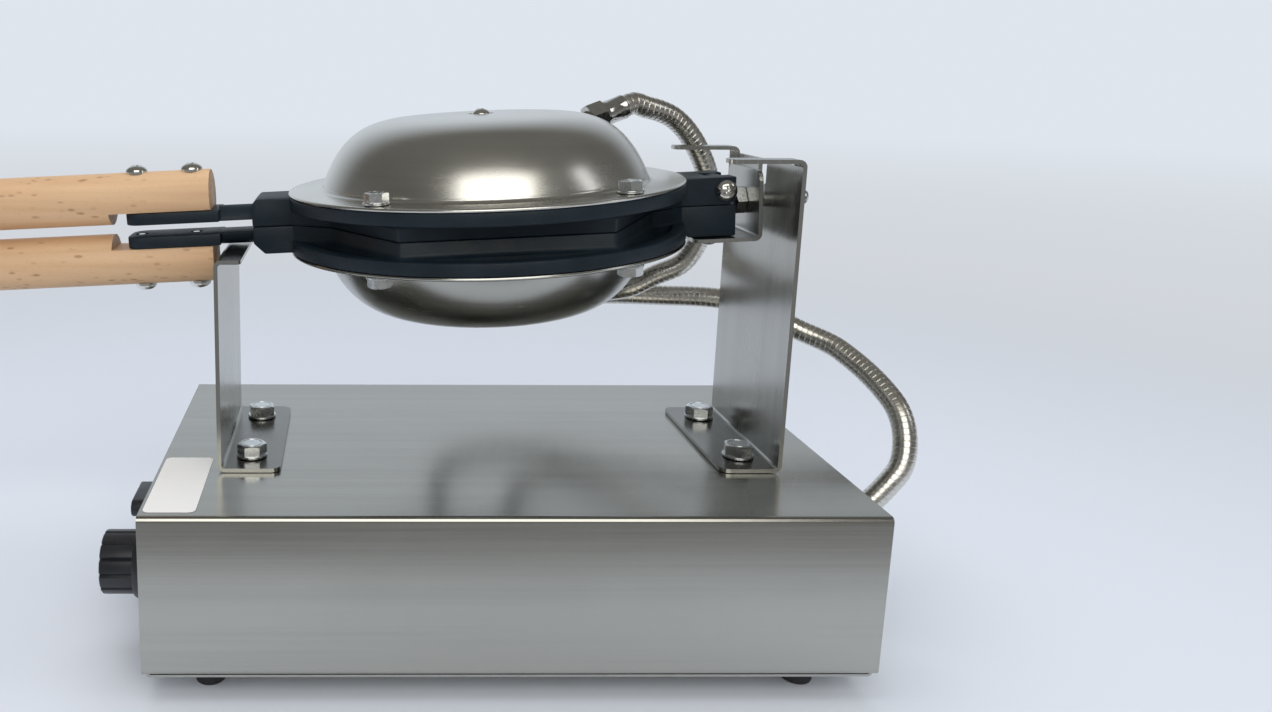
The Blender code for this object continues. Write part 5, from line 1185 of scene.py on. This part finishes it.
corner = 0.003
low_x, high_x = (BASE_LEFT + x for x in (0.0016 + corner, 0.0256 - corner))
low_y, high_y = (BASE_FRONT + y for y in (0.0055 + corner, 0.0715 - corner))
points = []
for x, y, start in ((high_x, high_y, 0), (low_x, high_y, 90), (low_x, low_y, 180), (high_x, low_y, 270)):
    points += arc(x, y, corner, start, start + 90, 6)
place("blank_label", prism(points, BASE_TOP + 0.00005, BASE_TOP + 0.0002), LABEL, "base")


# Stage: pale floor, and lamps

WALL = (0.74, 0.785, 0.845)


def stage():
    size = 12.0
    floor = box((-size, -size, -0.02), (size, size, 0.0))
    floor.name = "floor"
    look = bpy.data.materials.new("floor")
    graph = Graph(look)
    graph.tree.nodes.clear()

    def eased(value, start, end):
        return graph.span(value, start=start, end=end, interpolation_type="SMOOTHSTEP")

    def emission(colour):
        return graph.node("ShaderNodeEmission", {"Color": colour}).outputs[0]

    place_at = graph.node("ShaderNodeNewGeometry").outputs["Position"]
    length = graph.node("ShaderNodeVectorMath", {0: place_at}, operation="LENGTH").outputs["Value"]
    diffuse = graph.node("ShaderNodeBsdfDiffuse", {"Color": (0.77, 0.81, 0.88)}).outputs[0]
    # Behind the object the table runs into the pale wall
    wall = emission(graph.mix(eased(length, 0.7, 5.0), (0.635, 0.665, 0.71), WALL))
    table = graph.pick(eased(length, 0.4, 1.3), diffuse, wall)
    # In reflections the table ends in front of the object
    edge = eased(graph.split(place_at)["Y"], -0.20, -0.27)
    beyond = graph.product(edge, graph.light_path("Is Glossy Ray"))
    surface = graph.pick(beyond, table, emission((0.26, 0.26, 0.26)))
    graph.node("ShaderNodeOutputMaterial", {"Surface": surface})
    floor.data.materials.append(look)


def studio():
    """The room: a pale backdrop, even light on matt surfaces, and a dim room with a pale back in reflections."""
    world = bpy.data.worlds.new("studio")
    SCENE.world = world
    graph = Graph(world)
    graph.tree.nodes.clear()
    facing = graph.split(graph.texture_space("Generated"))

    def background(colour):
        return graph.node("ShaderNodeBackground", {"Color": colour}).outputs[0]

    def ramp(axis, *stops):
        return graph.ramp(graph.span(facing[axis], start=-1, end=1), *stops)

    matt = ramp("Y", (0.2, (0.38, 0.38, 0.39)), (0.55, (0.41, 0.42, 0.44)), (0.8, (0.52, 0.56, 0.62)))
    height = ramp("Z", (0.5, (0.17, 0.175, 0.18)), (0.72, (0.125, 0.122, 0.113)), (1.0, (0.17, 0.165, 0.15)))
    shiny = graph.mix(ramp("Y", (0.75, 0.0), (0.96, 1.0)), height, (0.72, 0.78, 0.85))
    room = graph.pick(graph.light_path("Is Glossy Ray"), background(matt), background(shiny))
    surface = graph.pick(graph.light_path("Is Camera Ray"), room, background(WALL))
    graph.node("ShaderNodeOutputWorld", {"Surface": surface})


def lamp(name, place_at, target, size, power, colour, glossy=True):
    data = bpy.data.lights.new(name, "AREA")
    data.shape = "RECTANGLE"
    data.size, data.size_y = size
    data.energy = power
    data.color = colour
    obj = linked(bpy.data.objects.new(name, data))
    obj.location = place_at
    obj.rotation_euler = (Vector(target) - Vector(place_at)).to_track_quat("-Z", "Y").to_euler()
    obj.visible_camera = False
    obj.visible_glossy = glossy


stage()
studio()
lamp("top_softbox", (-0.1, 0.1, 1.7), (0.05, 0, 0.1), (1.6, 1.3), 12.5, (0.97, 0.985, 1.0), False)
lamp("front_window", (0.09, -1.36, 1.06), (0.08, 0, 0.24), (1.4, 1.1), 11.5, (1.0, 0.985, 0.93))
lamp("side_window", (1.4, -0.43, 1.0), (0.08, 0, 0.24), (0.22, 0.6), 0.8, (0.97, 0.98, 1.0))

SCENE.view_settings.view_transform = "Standard"
